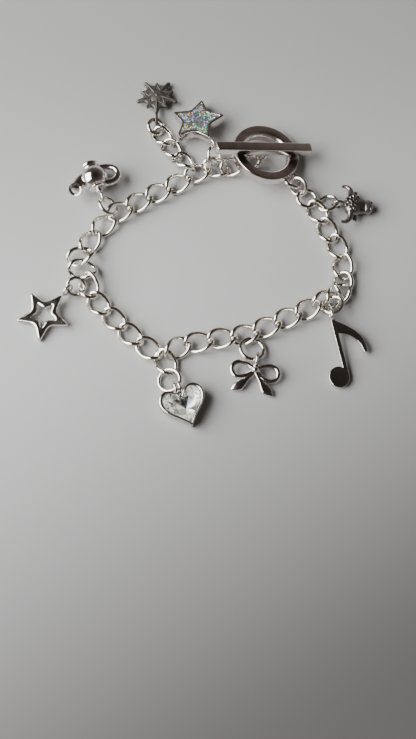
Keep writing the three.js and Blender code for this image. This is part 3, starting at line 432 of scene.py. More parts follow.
def foil_back(name):
    """The stone's foiled facets, with painted reflections: each has a painted tone, from near black to
    cool white, with painted sparkle, and glows in it as painted light.
    """
    finish = Finish(name, Metallic=0.35, Emission_Strength=0.85)
    tone = finish.attribute("tone")
    stops = [
        (0.0, (0.012, 0.011, 0.011)),
        (0.2, (0.11, 0.11, 0.085)),
        (0.4, (0.42, 0.40, 0.35)),
        (0.6, (0.74, 0.70, 0.62)),
        (0.8, (0.70, 0.78, 0.90)),
        (1.0, (1.0, 1.0, 0.98)),
    ]
    # Painted sparkle: white glints, dark flecks and a mottle, standing for the foil's reflections.
    painted_mottle = finish.noise(1.6, roughness=0.7).step(0.45, 0.75)
    painted_sparkle = finish.grains(1.25)[0]
    pale = tone.step(0.22, 0.4)
    foil = finish.mix(painted_mottle * 0.35, finish.ramp(tone, stops), (0.36, 0.34, 0.29))
    foil = finish.mix(painted_sparkle.step(0.72, 0.8) * pale * 0.75, foil, (1.0, 1.0, 0.97))
    foil = finish.mix((1.0 - painted_sparkle.step(0.16, 0.26)) * pale * 0.7, foil, (0.16, 0.15, 0.115))
    finish.feed("Base Color", foil)
    # The foil glows in its painted tones: painted light.
    finish.feed("Emission Color", foil)
    finish.feed("Roughness", 0.14 + 0.25 * painted_mottle)
    finish.bump(finish.noise(1.3, detail=2.0), 0.01)
    return finish.material


def glitter_resin(name):
    """The clear coat over the star's filling: dark grey with fine shimmer."""
    finish = Finish(name, Metallic=0.5, Roughness=0.2, Coat_Roughness=0.05, Coat_Weight=0.5)
    _, shine, away = finish.grains(2.6)
    grey = finish.mix(shine.step(0.35, 0.95), (0.24, 0.26, 0.27), (0.6, 0.63, 0.64))
    finish.feed("Base Color", finish.mix(away.step(0.2, 0.75), grey, (0.14, 0.15, 0.16)))
    finish.bump(away, 0.02)
    return finish.material


def flake_foil(name):
    """Holographic flakes: every flake has its own colour, and most glow in it as a painted glint."""
    finish = Finish(name, Metallic=0.4, Emission_Strength=0.85)
    tone = finish.attribute("glint")
    stops = [
        (0.0, (0.16, 0.18, 0.19)),
        (0.2, (0.40, 0.45, 0.46)),
        (0.3, (0.0, 0.85, 0.66)),
        (0.42, (0.04, 0.74, 0.08)),
        (0.54, (1.0, 0.72, 0.0)),
        (0.66, (1.0, 0.16, 0.12)),
        (0.78, (0.85, 0.22, 0.75)),
        (0.9, (0.0, 0.24, 1.0)),
        (1.0, (0.80, 0.95, 1.0)),
    ]
    rainbow = finish.ramp(tone, stops)
    finish.feed("Base Color", rainbow)
    finish.feed("Roughness", 0.12 + 0.2 * finish.noise(4.0, detail=1.0))
    # Painted glint: the coloured flakes glow, though they are no lamp.
    finish.feed("Emission Color", finish.mix(tone.step(0.16, 0.3), (0.0, 0.0, 0.0), rainbow))
    return finish.material


def pale_board(name):
    """The surface it lies on: pale and cloudy, with painted shade: greyer at the far side and darkest near
    on the right.
    """
    finish = Finish(name, Specular_IOR_Level=0.25)
    cloud = finish.noise(0.012)
    grain = finish.noise(2.2, detail=2.0)
    across, along, _ = finish.parts(finish.place)
    along = along / MM
    slope = across / MM * 0.5 - along
    # Painted shade: the near mask darkens the floor towards the near right, and the far mask greys it
    # towards the far side.
    near = slope.step(-10.0, 135.0) * (1.0 - slope.step(170.0, 330.0))
    far = along.step(-40.0, 80.0) * (1.0 - along.step(150.0, 300.0))
    pale = finish.mix(cloud, (0.565, 0.568, 0.572), (0.60, 0.602, 0.606))
    pale = finish.mix(far, pale, (0.36, 0.366, 0.364))
    finish.feed("Base Color", finish.mix(near, pale, (0.112, 0.108, 0.108)))
    finish.feed("Roughness", 0.62 + 0.1 * grain)
    finish.bump(grain, 0.01, 0.4)
    return finish.material


# Colours of the metals. A painted dark spot is its place and its reach, in millimetres: painted shade in
# the teapot's spout and a painted dark reflection on the toggle's ring.
CHAIN_BRIGHT = (0.86, 0.84, 0.775)
CHAIN_DULL = (0.62, 0.58, 0.50)
RING_BRIGHT = (0.80, 0.78, 0.72)
RING_DULL = (0.54, 0.51, 0.45)
CLASP_BRIGHT = (0.80, 0.75, 0.71)
CLASP_DULL = (0.58, 0.52, 0.48)
CAST_BRIGHT = (0.80, 0.77, 0.74)
CAST_DULL = (0.56, 0.53, 0.50)
ANTIQUE_BRIGHT = (0.40, 0.38, 0.36)
ANTIQUE_DULL = (0.08, 0.072, 0.068)
WORN_BRIGHT = (0.18, 0.168, 0.15)
WORN_DULL = (0.11, 0.104, 0.095)
WORN_HOLLOW = (0.07, 0.065, 0.06)
# The colour of the painted dark spots.
PAINTED_DARK_SPOT = (0.05, 0.042, 0.038)
PATINA = (0.035, 0.03, 0.028)
# Painted dark reflections on the toggle ring's top, at its left and its right.
CLASP_PAINTED_DARK = ((11.2, 20.6, 6.3, 4.4), (24.4, 21.8, 2.9, 3.8))
# Painted shade inside the mouth of the teapot's spout.
SPOUT_PAINTED_SHADE = ((-30.6, 14.2, 3.6, 2.3),)

chain_silver = polished_plate("chain silver", CHAIN_BRIGHT, CHAIN_DULL, 0.07, 0.14)
ring_silver = polished_plate("jump ring silver", RING_BRIGHT, RING_DULL, 0.07, 0.14)
clasp_silver = polished_plate(
    "clasp silver", CLASP_BRIGHT, CLASP_DULL, 0.10, 0.12, 0.006, (PATINA, (0.66, 0.95)), CLASP_PAINTED_DARK
)
charm_silver = polished_plate(
    "charm silver", CAST_BRIGHT, CAST_DULL, 0.06, 0.12, 0.005, (PATINA, (0.6, 0.9)), SPOUT_PAINTED_SHADE
)
antique_silver = polished_plate(
    "antiqued silver", ANTIQUE_BRIGHT, ANTIQUE_DULL, 0.06, 0.1, 0.02, (PATINA, (0.30, 0.56))
)
worn_silver = polished_plate(
    "worn silver", WORN_BRIGHT, WORN_DULL, 0.46, 0.2, 0.03, (WORN_HOLLOW, (0.5, 0.75))
)
crystal_glass = facet_glass("crystal")
crystal_foil = foil_back("crystal foil")
star_resin = glitter_resin("star resin")
star_flakes = flake_foil("star flakes")
board = pale_board("pale board")


# Pieces and their places.
def finished(name, mesh, material, nodes, sharp=None):
    """Puts a mesh in the scene, gives it its finish and lets it stand for its CAD nodes."""
    piece = bpy.data.objects.new(name, mesh)
    bpy.context.scene.collection.objects.link(piece)
    if not mesh.materials:
        mesh.materials.append(material)
    if sharp is not None:
        mesh.shade_smooth()
        mesh.set_sharp_from_angle(angle=math.radians(sharp))
    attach(piece, "root")
    if nodes:
        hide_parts(*nodes)
    return piece


def solid_points(node):
    return np.array([v.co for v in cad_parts[node].data.vertices])


def wire_lie(node):
    """Middle and turn of a link or ring, read from the spread of its solid's points."""
    points = np.unique(solid_points(node).round(7), axis=0)
    middle = points.mean(0)
    _, axes = np.linalg.eigh(np.cov((points - middle).T))
    long_axis, wide_axis = Vector(axes[:, 2]), Vector(axes[:, 1])
    turn = Matrix((long_axis, wide_axis, long_axis.cross(wide_axis))).transposed()
    return Vector(middle) + Vector((0, 0, WIRE_LIFT * MM)), turn.to_euler()


def spin(degrees, axis):
    return Matrix.Rotation(math.radians(degrees), 3, axis)


def turned_back(node, turn):
    """A solid's points in millimetres in its casting's own frame, with their two corners."""
    points = solid_points(node) / MM @ np.array(turn)
    return points, points.min(0), points.max(0)


def lie(middle, turn):
    return Matrix.Translation(turn @ Vector(middle) * MM) @ turn.to_4x4()


def charm_lie(node):
    """Where a charm lies: its turn, and its bail's middle as its solid has it."""
    hang, tip = HANGS[node]
    turn = spin(hang, "Z") @ spin(tip, "Y")
    points, (end, _, _), _ = turned_back(node, turn)
    bail = points[points[:, 0] < end + BAIL_SIZE / 2]
    low, high = bail.min(0), bail.max(0)
    _, aside, height = (low + high) / 2
    return lie((end + (high - low)[2] / 2, aside, height), turn)


class WireTree(Nodes):
    """A Geometry Nodes tree with named inputs, ending in Realize Instances and Set Material."""

    def __init__(self, name, *labels):
        tree = bpy.data.node_groups.new(name, "GeometryNodeTree")
        super().__init__(tree)
        tree.interface.new_socket("Geometry", in_out="INPUT", socket_type="NodeSocketGeometry")
        tree.interface.new_socket("Geometry", in_out="OUTPUT", socket_type="NodeSocketGeometry")
        self.identifiers = {}
        for label in (*labels, "Finish"):
            kind = "NodeSocket" + {"Seed": "Int", "Finish": "Material"}.get(label, "Float")
            socket = tree.interface.new_socket(label, in_out="INPUT", socket_type=kind)
            self.identifiers[label] = socket.identifier
        self.source = tree.nodes.new("NodeGroupInput")

    def given(self, label):
        return self.value(self.source.outputs[label])

    def strew(self, points, item, rotation):
        sockets = {"Points": points, "Instance": item, "Rotation": rotation}
        return self.add("GeometryNodeInstanceOnPoints", None, sockets).outputs[0]

    def end(self, geometry, smooth):
        real = self.add("GeometryNodeRealizeInstances", None, {"Geometry": geometry}).outputs[0]
        if smooth:
            real = self.add("GeometryNodeSetShadeSmooth", None, {"Geometry": real}).outputs[0]
        sockets = {"Geometry": real, "Material": self.given("Finish")}
        dressed = self.add("GeometryNodeSetMaterial", None, sockets)
        self.tree.links.new(dressed.outputs[0], self.tree.nodes.new("NodeGroupOutput").inputs[0])

    def sweep(self, line):
        """Sweeps the wire along a line and puts it on every carrier point at its own turn."""
        sockets = {"Radius": self.given("Body") * 0.5, "Resolution": WIRE_SIDES}
        section = self.add("GeometryNodeCurvePrimitiveCircle", None, sockets).outputs[0]
        sockets = {"Curve": line, "Profile Curve": section, "Fill Caps": True}
        wire = self.add("GeometryNodeCurveToMesh", None, sockets).outputs[0]
        own = self.add("GeometryNodeInputNamedAttribute", {"data_type": "FLOAT_VECTOR"}, {"Name": "lie"})
        turn = self.add("FunctionNodeEulerToRotation", None, {"Euler": own.outputs[0]})
        self.end(self.strew(self.source.outputs["Geometry"], wire, turn.outputs[0]), smooth=True)

    def run(self, mesh, sizes):
        """Runs the tree on a mesh and returns the plain mesh that it makes."""
        piece = bpy.data.objects.new("carrier", mesh)
        bpy.context.scene.collection.objects.link(piece)
        modifier = piece.modifiers.new("tree", "NODES")
        modifier.node_group = self.tree
        for label, value in sizes.items():
            modifier[self.identifiers[label]] = value
        graph = bpy.context.evaluated_depsgraph_get()
        made = bpy.data.meshes.new_from_object(piece.evaluated_get(graph))
        piece.modifiers.clear()
        bpy.data.objects.remove(piece)
        return made


def carrier(lies):
    """One point for each wire piece, with its turn stored on it."""
    mesh = bpy.data.meshes.new("carrier")
    mesh.from_pydata([tuple(at) for at, _ in lies], [], [])
    turns = mesh.attributes.new("lie", "FLOAT_VECTOR", "POINT")
    for item, (_, turn) in zip(turns.data, lies):
        item.vector = tuple(turn)
    return mesh


def curb_tree():
    """Twisted curb links: a full oval whose two ends are turned against each other."""
    wires = WireTree("curb links", "Length", "Width", "Wire", "Body", "Twist", "Fullness")
    sockets = {"Radius": 1.0, "Resolution": LINK_STEPS}
    oval = wires.add("GeometryNodeCurvePrimitiveCircle", None, sockets)
    position = wires.add("GeometryNodeInputPosition")
    wire = wires.given("Wire")
    half_length = (wires.given("Length") - wire) * 0.5
    half_width = (wires.given("Width") - wire) * 0.5
    power = 2.0 * wires.given("Fullness") ** -1.0
    along, across, _ = (
        turn.math("ABSOLUTE") ** power * turn.math("SIGN") for turn in wires.parts(position.outputs[0])
    )
    roll = along * wires.given("Twist") * -0.5
    side = across * half_width
    sockets = {"X": along * half_length, "Y": side * roll.math("COSINE"), "Z": side * roll.math("SINE")}
    join = wires.add("ShaderNodeCombineXYZ", None, sockets)
    sockets = {"Geometry": oval.outputs[0], "Position": join.outputs[0]}
    wires.sweep(wires.add("GeometryNodeSetPosition", None, sockets).outputs[0])
    return wires


def jump_ring_tree():
    """Round rings bent from wire, their two ends meeting at a fine split."""
    wires = WireTree("split rings", "Size", "Wire", "Body", "Split", "Turned")
    sockets = {
        "Resolution": RING_STEPS,
        "Radius": (wires.given("Size") - wires.given("Wire")) * 0.5,
        "Start Angle": wires.given("Turned"),
        "Sweep Angle": 2 * math.pi - wires.given("Split"),
    }
    wires.sweep(wires.add("GeometryNodeCurveArc", None, sockets).outputs[0])
    return wires


def lay_wires():
    """The chain, the extender, the jump rings and the two rings by the clasp."""
    curb = curb_tree()
    sizes = {
        "Length": LINK_LENGTH * MM,
        "Width": LINK_WIDTH * MM,
        "Wire": LINK_WIRE * MM,
        "Body": LINK_BODY * MM,
        "Twist": LINK_TWIST,
        "Fullness": LINK_FULLNESS,
        "Finish": chain_silver,
    }
    for name, start in (("chain", "link_"), ("extender_chain", "extender_")):
        nodes = sorted(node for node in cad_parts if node.startswith(start))
        mesh = curb.run(carrier([wire_lie(node) for node in nodes]), sizes)
        finished(name, mesh, chain_silver, nodes)
    split = jump_ring_tree()
    rings = sorted(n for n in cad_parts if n.startswith("ring_") or n in ("round_ring", "loop_link"))
    for number, node in enumerate(rings):
        points = solid_points(node)
        sizes = {
            "Size": float(2 * np.linalg.norm(points - points.mean(0), axis=1).max()),
            "Wire": RING_WIRE * MM,
            "Body": RING_BODY * MM,
            "Split": RING_SPLIT,
            "Turned": NEXT_SPLIT * number,
            "Finish": ring_silver,
        }
        mesh = split.run(carrier([wire_lie(node)]), sizes)
        finished("wire_" + node, mesh, ring_silver, [node])


# Lines and outlines, in millimetres.
def around(count):
    """Even angles, once round."""
    return [2 * math.pi * k / count for k in range(count)]


def polar(reach, angle):
    return reach * math.cos(angle), reach * math.sin(angle)


def circle(count, wide, deep=None):
    """Points round a circle, or round an oval."""
    deep = wide if deep is None else deep
    return [(wide * math.cos(turn), deep * math.sin(turn)) for turn in around(count)]


def level(outline, height, share=1.0):
    """An outline laid flat at a height."""
    return [(x * share, y * share, height) for x, y in outline]


def swung(along, across, swing):
    """A point along a line that is turned about its start."""
    turned, square = polar(1.0, swing)
    return along * turned - across * square, along * square + across * turned


def fuller(value, power):
    """A sine or cosine pushed outwards, which squares a round section."""
    return math.copysign(abs(value) ** power, value)


def rounded(points, radius, steps=4):
    """An outline with its corners rounded."""
    out = []
    count = len(points)
    for i in range(count):
        before, here, after = (Vector(points[(i + k) % count]) for k in (-1, 0, 1))
        back, on = before - here, after - here
        reach = min(radius, back.length * 0.45, on.length * 0.45)
        start, end = here + back.normalized() * reach, here + on.normalized() * reach
        for k in range(steps + 1):
            t = k / steps
            spot = start * (1 - t) ** 2 + here * 2 * t * (1 - t) + end * t**2
            out.append((spot.x, spot.y))
    return out


def bezier(start, first, second, end, steps):
    points = []
    for k in range(steps):
        t = k / steps
        x, y = (
            a * (1 - t) ** 3 + 3 * b * t * (1 - t) ** 2 + 3 * c * t * t * (1 - t) + d * t**3
            for a, b, c, d in zip(start, first, second, end)
        )
        points.append((x, y))
    return points


def through(points, steps=6):
    """A smooth line through points."""
    line = []
    last = len(points) - 1
    for i in range(last):
        before, here, after, beyond = (Vector(points[min(max(i + k, 0), last)]) for k in (-1, 0, 1, 2))
        for k in range(steps):
            t = k / steps
            spot = 0.5 * (
                2 * here
                + (after - before) * t
                + (2 * before - 5 * here + 4 * after - beyond) * t**2
                + (3 * here - before - 3 * after + beyond) * t**3
            )
            line.append((spot.x, spot.y))
    return line + [points[-1]]


def star(tip, notch):
    """A star's outline, its first tip towards -X."""
    points = []
    for turn in around(STAR_TIPS):
        points.append(polar(tip, math.pi + turn))
        points.append(polar(notch, math.pi + turn + math.pi / STAR_TIPS))
    return points


def inset_share(tip, notch, band):
    """What is left of a star's reach when its edges are drawn in by a band, as a share."""
    across, aside = polar(notch, math.pi / STAR_TIPS)
    reach = tip * aside / math.hypot(tip - across, aside)
    return (reach - band) / reach


# Shapes for the castings, each made in its own frame with its bail's middle at the origin,
# the charm along +X and its face up, in millimetres.
class Casting:
    """A casting being built up from closed shapes."""

    def __init__(self):
        self.points = []
        self.faces = []

    def add(self, points, faces):
        start = len(self.points)
        self.points += [tuple(point) for point in points]
        self.faces += [tuple(start + i for i in face) for face in faces]

    def loft(self, rings, close=False):
        """A skin through rings of points, capped at both ends or closed on itself."""
        count = len(rings[0])
        rows = len(rings)
        faces = []
        for row in range(rows if close else rows - 1):
            here, after = row * count, (row + 1) % rows * count
            for i in range(count):
                j = (i + 1) % count
                faces.append((here + i, here + j, after + j, after + i))
        if not close:
            faces.append(tuple(reversed(range(count))))
            faces.append(tuple((rows - 1) * count + i for i in range(count)))
        self.add([point for ring in rings for point in ring], faces)

    def tube(self, line, radii, sides=14, close=False, squash=1.0):
        """A round or flattened bar along a line of points."""
        line = [Vector(point) for point in line]
        count = len(line)
        radii = [radii] * count if isinstance(radii, (int, float)) else radii
        rings = []
        side = None
        for i, point in enumerate(line):
            before = line[i - 1] if close or i else line[0]
            after = line[(i + 1) % count] if close or i + 1 < count else line[-1]
            along = (after - before).normalized()
            if side is None:
                side = along.orthogonal().normalized()
                if abs(along.z) < 0.9:
                    side = Vector((0, 0, 1)).cross(along).normalized()
            side = (side - along * side.dot(along)).normalized()
            up = along.cross(side)
            ring = [point + (side * x + up * y * squash) * radii[i] for x, y in circle(sides, 1.0)]
            rings.append(ring)
        self.loft(rings, close)

    def ball(self, middle, radius, scale=(1, 1, 1), steps=16, turn=0.0):
        rings = []
        for row in range(1, steps // 2):
            tilt = math.pi * row / (steps // 2)
            ring = []
            for x, y in circle(steps, math.sin(tilt)):
                spot = Vector((x * scale[0], y * scale[1], -math.cos(tilt) * scale[2]))
                spot.rotate(Euler((0, 0, turn)))
                ring.append(Vector(middle) + spot * radius)
            rings.append(ring)
        self.loft(rings)

    def plate(self, outline, thickness, rounding, holes=()):
        """A flat plate of an outline with rounded edges, the middle of its depth at zero."""
        curve = bpy.data.curves.new("outline", "CURVE")
        curve.dimensions = "2D"
        curve.fill_mode = "BOTH"
        curve.extrude = thickness / 2 - rounding
        curve.bevel_depth = rounding
        curve.bevel_resolution = 4
        curve.offset = -rounding
        for ring in (outline, *(hole[::-1] for hole in holes)):
            spline = curve.splines.new("POLY")
            spline.points.add(len(ring) - 1)
            for item, (x, y) in zip(spline.points, ring):
                item.co = (x, y, 0, 1)
            spline.use_cyclic_u = True
        holder = bpy.data.objects.new("outline", curve)
        bpy.context.scene.collection.objects.link(holder)
        graph = bpy.context.evaluated_depsgraph_get()
        mesh = bpy.data.meshes.new_from_object(holder.evaluated_get(graph))
        self.add([v.co for v in mesh.vertices], [tuple(p.vertices) for p in mesh.polygons])
        bpy.data.objects.remove(holder)
        bpy.data.curves.remove(curve)
        bpy.data.meshes.remove(mesh)

    def bail(self, wire=BAIL_WIRE, lobes=(0.0,)):
        for aside in lobes:
            line = [(x, aside, z) for x, z in circle(BAIL_STEPS, BAIL_REACH)]
            self.tube(line, wire / 2, WIRE_SIDES, True)

    def moved(self, along):
        self.points = [tuple(Vector(point) + Vector((along, 0, 0))) for point in self.points]

    def mesh(self, name, place, hollows=0.0, merge=0.004):
        """The casting at its place, in metres, merged, facing outwards, hollows marked."""
        mesh = bpy.data.meshes.new(name)
        mesh.from_pydata(self.points, [], self.faces)
        work = bmesh.new()
        work.from_mesh(mesh)
        bmesh.ops.remove_doubles(work, verts=work.verts, dist=merge)
        bmesh.ops.recalc_face_normals(work, faces=work.faces)
        work.to_mesh(mesh)
        work.free()
        mesh.transform(Matrix.Scale(MM, 4))
        mesh.transform(place)
        mark_hollows(mesh, hollows)
        return mesh

    def cast(self, name, node, hollows, sharp, material=charm_silver):
        """Finishes a charm in its metal at its solid's place."""
        finished(name, self.mesh(name, charm_lie(node), hollows), material, [node], sharp)


def mark_hollows(mesh, reach):
    """Stores on each point how much it lies in a hollow: 0.5 flat, above in, below out."""
    work = bmesh.new()
    work.from_mesh(mesh)
    work.normal_update()
    near = [[edge.other_vert(vert) for edge in vert.link_edges] for vert in work.verts]
    sunk = []
    for vert, others in zip(work.verts, near):
        steps = [other.co - vert.co for other in others]
        rises = [vert.normal.dot(step) / step.length for step in steps if step.length > 1e-9]
        sunk.append(sum(rises) / max(1, len(rises)))
    for _ in range(2):
        means = [sum(sunk[other.index] for other in others) / max(1, len(others)) for others in near]
        sunk = [0.5 * own + 0.5 * mean for own, mean in zip(sunk, means)]
    mark = mesh.attributes.new("hollow", "FLOAT", "POINT")
    for item, value in zip(mark.data, sunk):
        item.value = min(1.0, max(0.0, 0.5 + reach * value))
    work.free()


def open_star():
    """A frame of five bars with a soft ridge, joined to its bail."""
    tip = OPEN_STAR / 2
    notch = tip * OPEN_STAR_NOTCH
    inner = inset_share(tip, notch, OPEN_STAR_BAND)
    charm = Casting()
    outer = rounded(star(tip * 1.02, notch), OPEN_STAR_CORNER, 6)
    hole = rounded(star(tip * inner, notch * inner), OPEN_STAR_HOLE_CORNER, 6)
    charm.plate(outer, OPEN_STAR_THICKNESS, OPEN_STAR_ROUNDING, [hole])
    charm.moved(tip + BAIL_REACH)
    charm.bail()
    charm.cast("open_star_frame", "open_star", 0.5, 40)


def glitter_star():
    """A thick tray with a rim, and a filling full of glitter flakes."""
    tip = GLITTER_STAR / 2
    notch = tip * GLITTER_STAR_NOTCH
    share = inset_share(tip, notch, GLITTER_STAR_RIM)
    half = GLITTER_STAR_HEIGHT / 2
    outer_corner, inner_corner = GLITTER_STAR_CORNERS
    outer = rounded(star(tip, notch), outer_corner)
    inner = rounded(star(tip * share, notch * share), inner_corner)
    tray = Casting()
    tray.loft(
        [level(outer, up - half, part) for up, part in TRAY_FOOT]
        + [level(outer, half - down, part) for down, part in TRAY_RIM]
        + [level(inner, half - down, part) for down, part in TRAY_INSIDE]
    )
    tray.moved(tip + BAIL_REACH)
    tray.bail()
    tray.cast("glitter_tray", "glitter_star_tray", 0.6, 40)
    filling = Casting()
    filling.loft([level(inner, half - down, part) for down, part in FILLING_LEVELS])
    filling.moved(tip + BAIL_REACH)
    mesh = filling.mesh("glitter_filling", charm_lie("glitter_star_tray"))
    finished("glitter_filling", mesh, star_resin, ["glitter_star_inlay"], 50)
    finished("glitter_flakes", scatter_flakes(mesh), star_flakes, [])


def scatter_flakes(filling):
    """Small six-sided flakes strewn over the top of the star's filling."""
    flakes = WireTree("flakes", "Density", "Flake", "Seed")
    seed = flakes.source.outputs["Seed"]
    normal = flakes.add("GeometryNodeInputNormal")
    spots = flakes.add(
        "GeometryNodeDistributePointsOnFaces",
        {"distribute_method": "POISSON"},
        {
            "Mesh": flakes.source.outputs["Geometry"],
            "Selection": flakes.parts(normal.outputs[0])[2].math("GREATER_THAN", 0.8),
            "Distance Min": flakes.given("Flake") * 0.8,
            "Density Max": flakes.given("Density"),
            "Seed": seed,
        },
    )
    sockets = {"Vertices": 6, "Radius": flakes.given("Flake") * 0.5}
    flake = flakes.add("GeometryNodeMeshCircle", {"fill_type": "NGON"}, sockets)
    low, high = (-FLAKE_TILT, -FLAKE_TILT, 0.0), (FLAKE_TILT, FLAKE_TILT, 3.14)
    sockets = {"Min": low, "Max": high, "Seed": seed}
    tilt = flakes.add("FunctionNodeRandomValue", {"data_type": "FLOAT_VECTOR"}, sockets)
    local = flakes.add("FunctionNodeEulerToRotation", None, {"Euler": tilt.outputs[0]})
    sockets = {"Rotation": spots.outputs["Rotation"], "Rotate By": local.outputs[0]}
    turned = flakes.add("FunctionNodeRotateRotation", {"rotation_space": "LOCAL"}, sockets)
    placed = flakes.strew(spots.outputs["Points"], flake.outputs[0], turned.outputs[0])
    glint = flakes.add("FunctionNodeRandomValue", {"data_type": "FLOAT"}, {"Seed": seed})
    settings = {"data_type": "FLOAT", "domain": "INSTANCE"}
    sockets = {"Geometry": placed, "Name": "glint", "Value": glint.outputs[1]}
    marked = flakes.add("GeometryNodeStoreNamedAttribute", settings, sockets)
    flakes.end(marked.outputs[0], smooth=False)
    sizes = {"Density": FLAKE_DENSITY, "Flake": FLAKE * MM, "Seed": 7, "Finish": star_flakes}
    return flakes.run(filling.copy(), sizes)


# The heart: a cup with a rolled rim, a foiled back of facets and a faceted crown.
def heart_outline(count=72):
    points = []
    unit = HEART / HEART_UNITS
    for t in around(count):
        along = 13 * math.cos(t) - 5 * math.cos(2 * t) - 2 * math.cos(3 * t) - math.cos(4 * t)
        across = math.sin(t) * (HEART_SOFTNESS + (1 - HEART_SOFTNESS) * math.sin(t) ** 2)
        points.append((-unit * (along + 2), -HEART / 2 * across))
    return points


def drawn_in(outline, inset):
    """The heart's outline drawn in: square to the rim by the notch, to the middle by the tip."""
    count = len(outline)
    share = -inset / (HEART * HEART_FLANK)
    out = []
    for i, t in enumerate(around(count)):
        here, before, after = (Vector(outline[(i + k) % count]) for k in (0, -1, 1))
        along = after - before
        square = Vector((-along.y, along.x)).normalized() * inset
        near_notch = ((1 + math.cos(t)) / 2) ** 2
        spot = here + (here * share).lerp(square, near_notch)
        out.append((spot.x, spot.y))
    return out


def heart():
    rim = heart_outline()
    half = HEART_HEIGHT / 2
    cup = Casting()
    cup.loft(
        [level(drawn_in(rim, inset), up - half) for inset, up in CUP_FOOT]
        + [level(drawn_in(rim, inset), half - down) for inset, down in CUP_RIM]
    )
    cup.moved(HEART_FROM_BAIL)
    cup.bail(HEART_BAIL_WIRE, HEART_BAIL_LOBES)
    notch = HEART_FROM_BAIL - HEART / HEART_UNITS * HEART_NOTCH
    cup.tube([(BAIL_REACH, 0, 0), (notch + 0.25, 0, 0)], BAIL_WIRE / 2)
    cup.cast("heart_cup", "heart_bezel", 0.9, 45)
    heart_stone(half - STONE_GIRDLE)


def facet_rows(rows):
    """A faceted skin through rings of few points, three-cornered faces between staggered rows."""
    faces = []
    start = 0
    for ring, other in zip(rows, rows[1:]):
        count = len(ring)
        after = start + count
        for i in range(count):
            j = (i + 1) % count
            if len(other) == 1:
                faces.append((start + i, start + j, after))
            elif i % 2:
                faces += [(start + i, start + j, after + j), (start + i, after + j, after + i)]
            else:
                faces += [(start + i, start + j, after + i), (start + j, after + j, after + i)]
        start = after
    return [point for ring in rows for point in ring], faces


def heart_stone(girdle):
    """A domed crown of clear crystal over a foiled back whose facets meet in one point."""
    outline = drawn_in(heart_outline(STONE_FACETS), HEART_RIM + FOIL_GAP)
    place = charm_lie("heart_bezel")

    def row(share, height, start=0):
        ring = []
        for i, (x, y) in enumerate(outline):
            pull = share * STONE_PULL[(i + start) % 2] if share < 1.0 else share
            ring.append((x * pull, y * pull, height))
        return ring

    points, faces = facet_rows([row(share, girdle + up) for share, up in CROWN_ROWS])
    faces.append(tuple(reversed(range(STONE_FACETS))))
    faces.append(tuple(2 * STONE_FACETS + i for i in range(STONE_FACETS)))
    crown = Casting()
    crown.add(points, faces)
    crown.moved(HEART_FROM_BAIL)
    mesh = crown.mesh("crystal_crown", place, merge=0.0005)
    finished("crystal_crown", mesh, crystal_glass, ["heart_crystal"])

    top = girdle - FOIL_GAP
    rows = [row(share, top + up, start) for share, up, start in FOIL_ROWS]
    rows.append([(*STONE_CENTRE, top - FOIL_DEPTH)])
    points, faces = facet_rows(rows)
    tones = painted_facet_reflections(points, faces)
    back = Casting()
    back.add(points, faces)
    under = [(x * 0.99, y * 0.99, z - FOIL_SHEET) for x, y, z in points]
    back.add(under, [tuple(reversed(face)) for face in faces])
    start = len(points)
    for i in range(STONE_FACETS):
        j = (i + 1) % STONE_FACETS
        back.faces.append((i, j, start + j, start + i))
    back.moved(HEART_FROM_BAIL)
    mesh = back.mesh("crystal_foil", place, merge=0.0005)
    # Each facet keeps its painted reflection tone.
    mark = mesh.attributes.new("tone", "FLOAT", "FACE")
    for number, item in enumerate(mark.data):
        item.value = tones[number] if number < len(tones) else 0.4
    finished("crystal_foil", mesh, crystal_foil, [])


# Painted reflections on the facets, seen round the stone's centre: a wedge between two angles in degrees,
# and its painted tone.
PAINTED_REFLECTION_WEDGES = (
    (160, 214, 0.0),
    (150, 160, 0.1),
    (100, 147, 0.86),
    (62, 100, 0.25),
    (20, 40, 0.7),
    (-70, -45, 1.0),
)
OUTER_FACETS = 2.3
OUTER_REFLECTION_TONES = [0.16, 0.3, 0.45, 0.6, 0.66, 1.0]
INNER_REFLECTION_TONES = [0.34, 0.5, 0.6, 0.66, 1.0]


def painted_facet_reflections(points, faces):
    """A painted reflection tone for each facet: a dark wedge by the notch, cool white beside it, pale
    below.
    """
    rng = np.random.default_rng(11)
    tones = []
    for face in faces:
        x, y = (sum(points[i][k] for i in face) / len(face) - STONE_CENTRE[k] for k in (0, 1))
        angle = math.degrees(math.atan2(y, x))
        outer = math.hypot(x, y) > OUTER_FACETS
        tone = float(rng.choice(OUTER_REFLECTION_TONES if outer else INNER_REFLECTION_TONES))
        for low, high, chosen in PAINTED_REFLECTION_WEDGES:
            if low <= angle < high or low <= angle + 360 < high:
                tone = 0.5 * chosen + 0.5 * tone if outer else chosen
        tones.append(tone)
    return tones


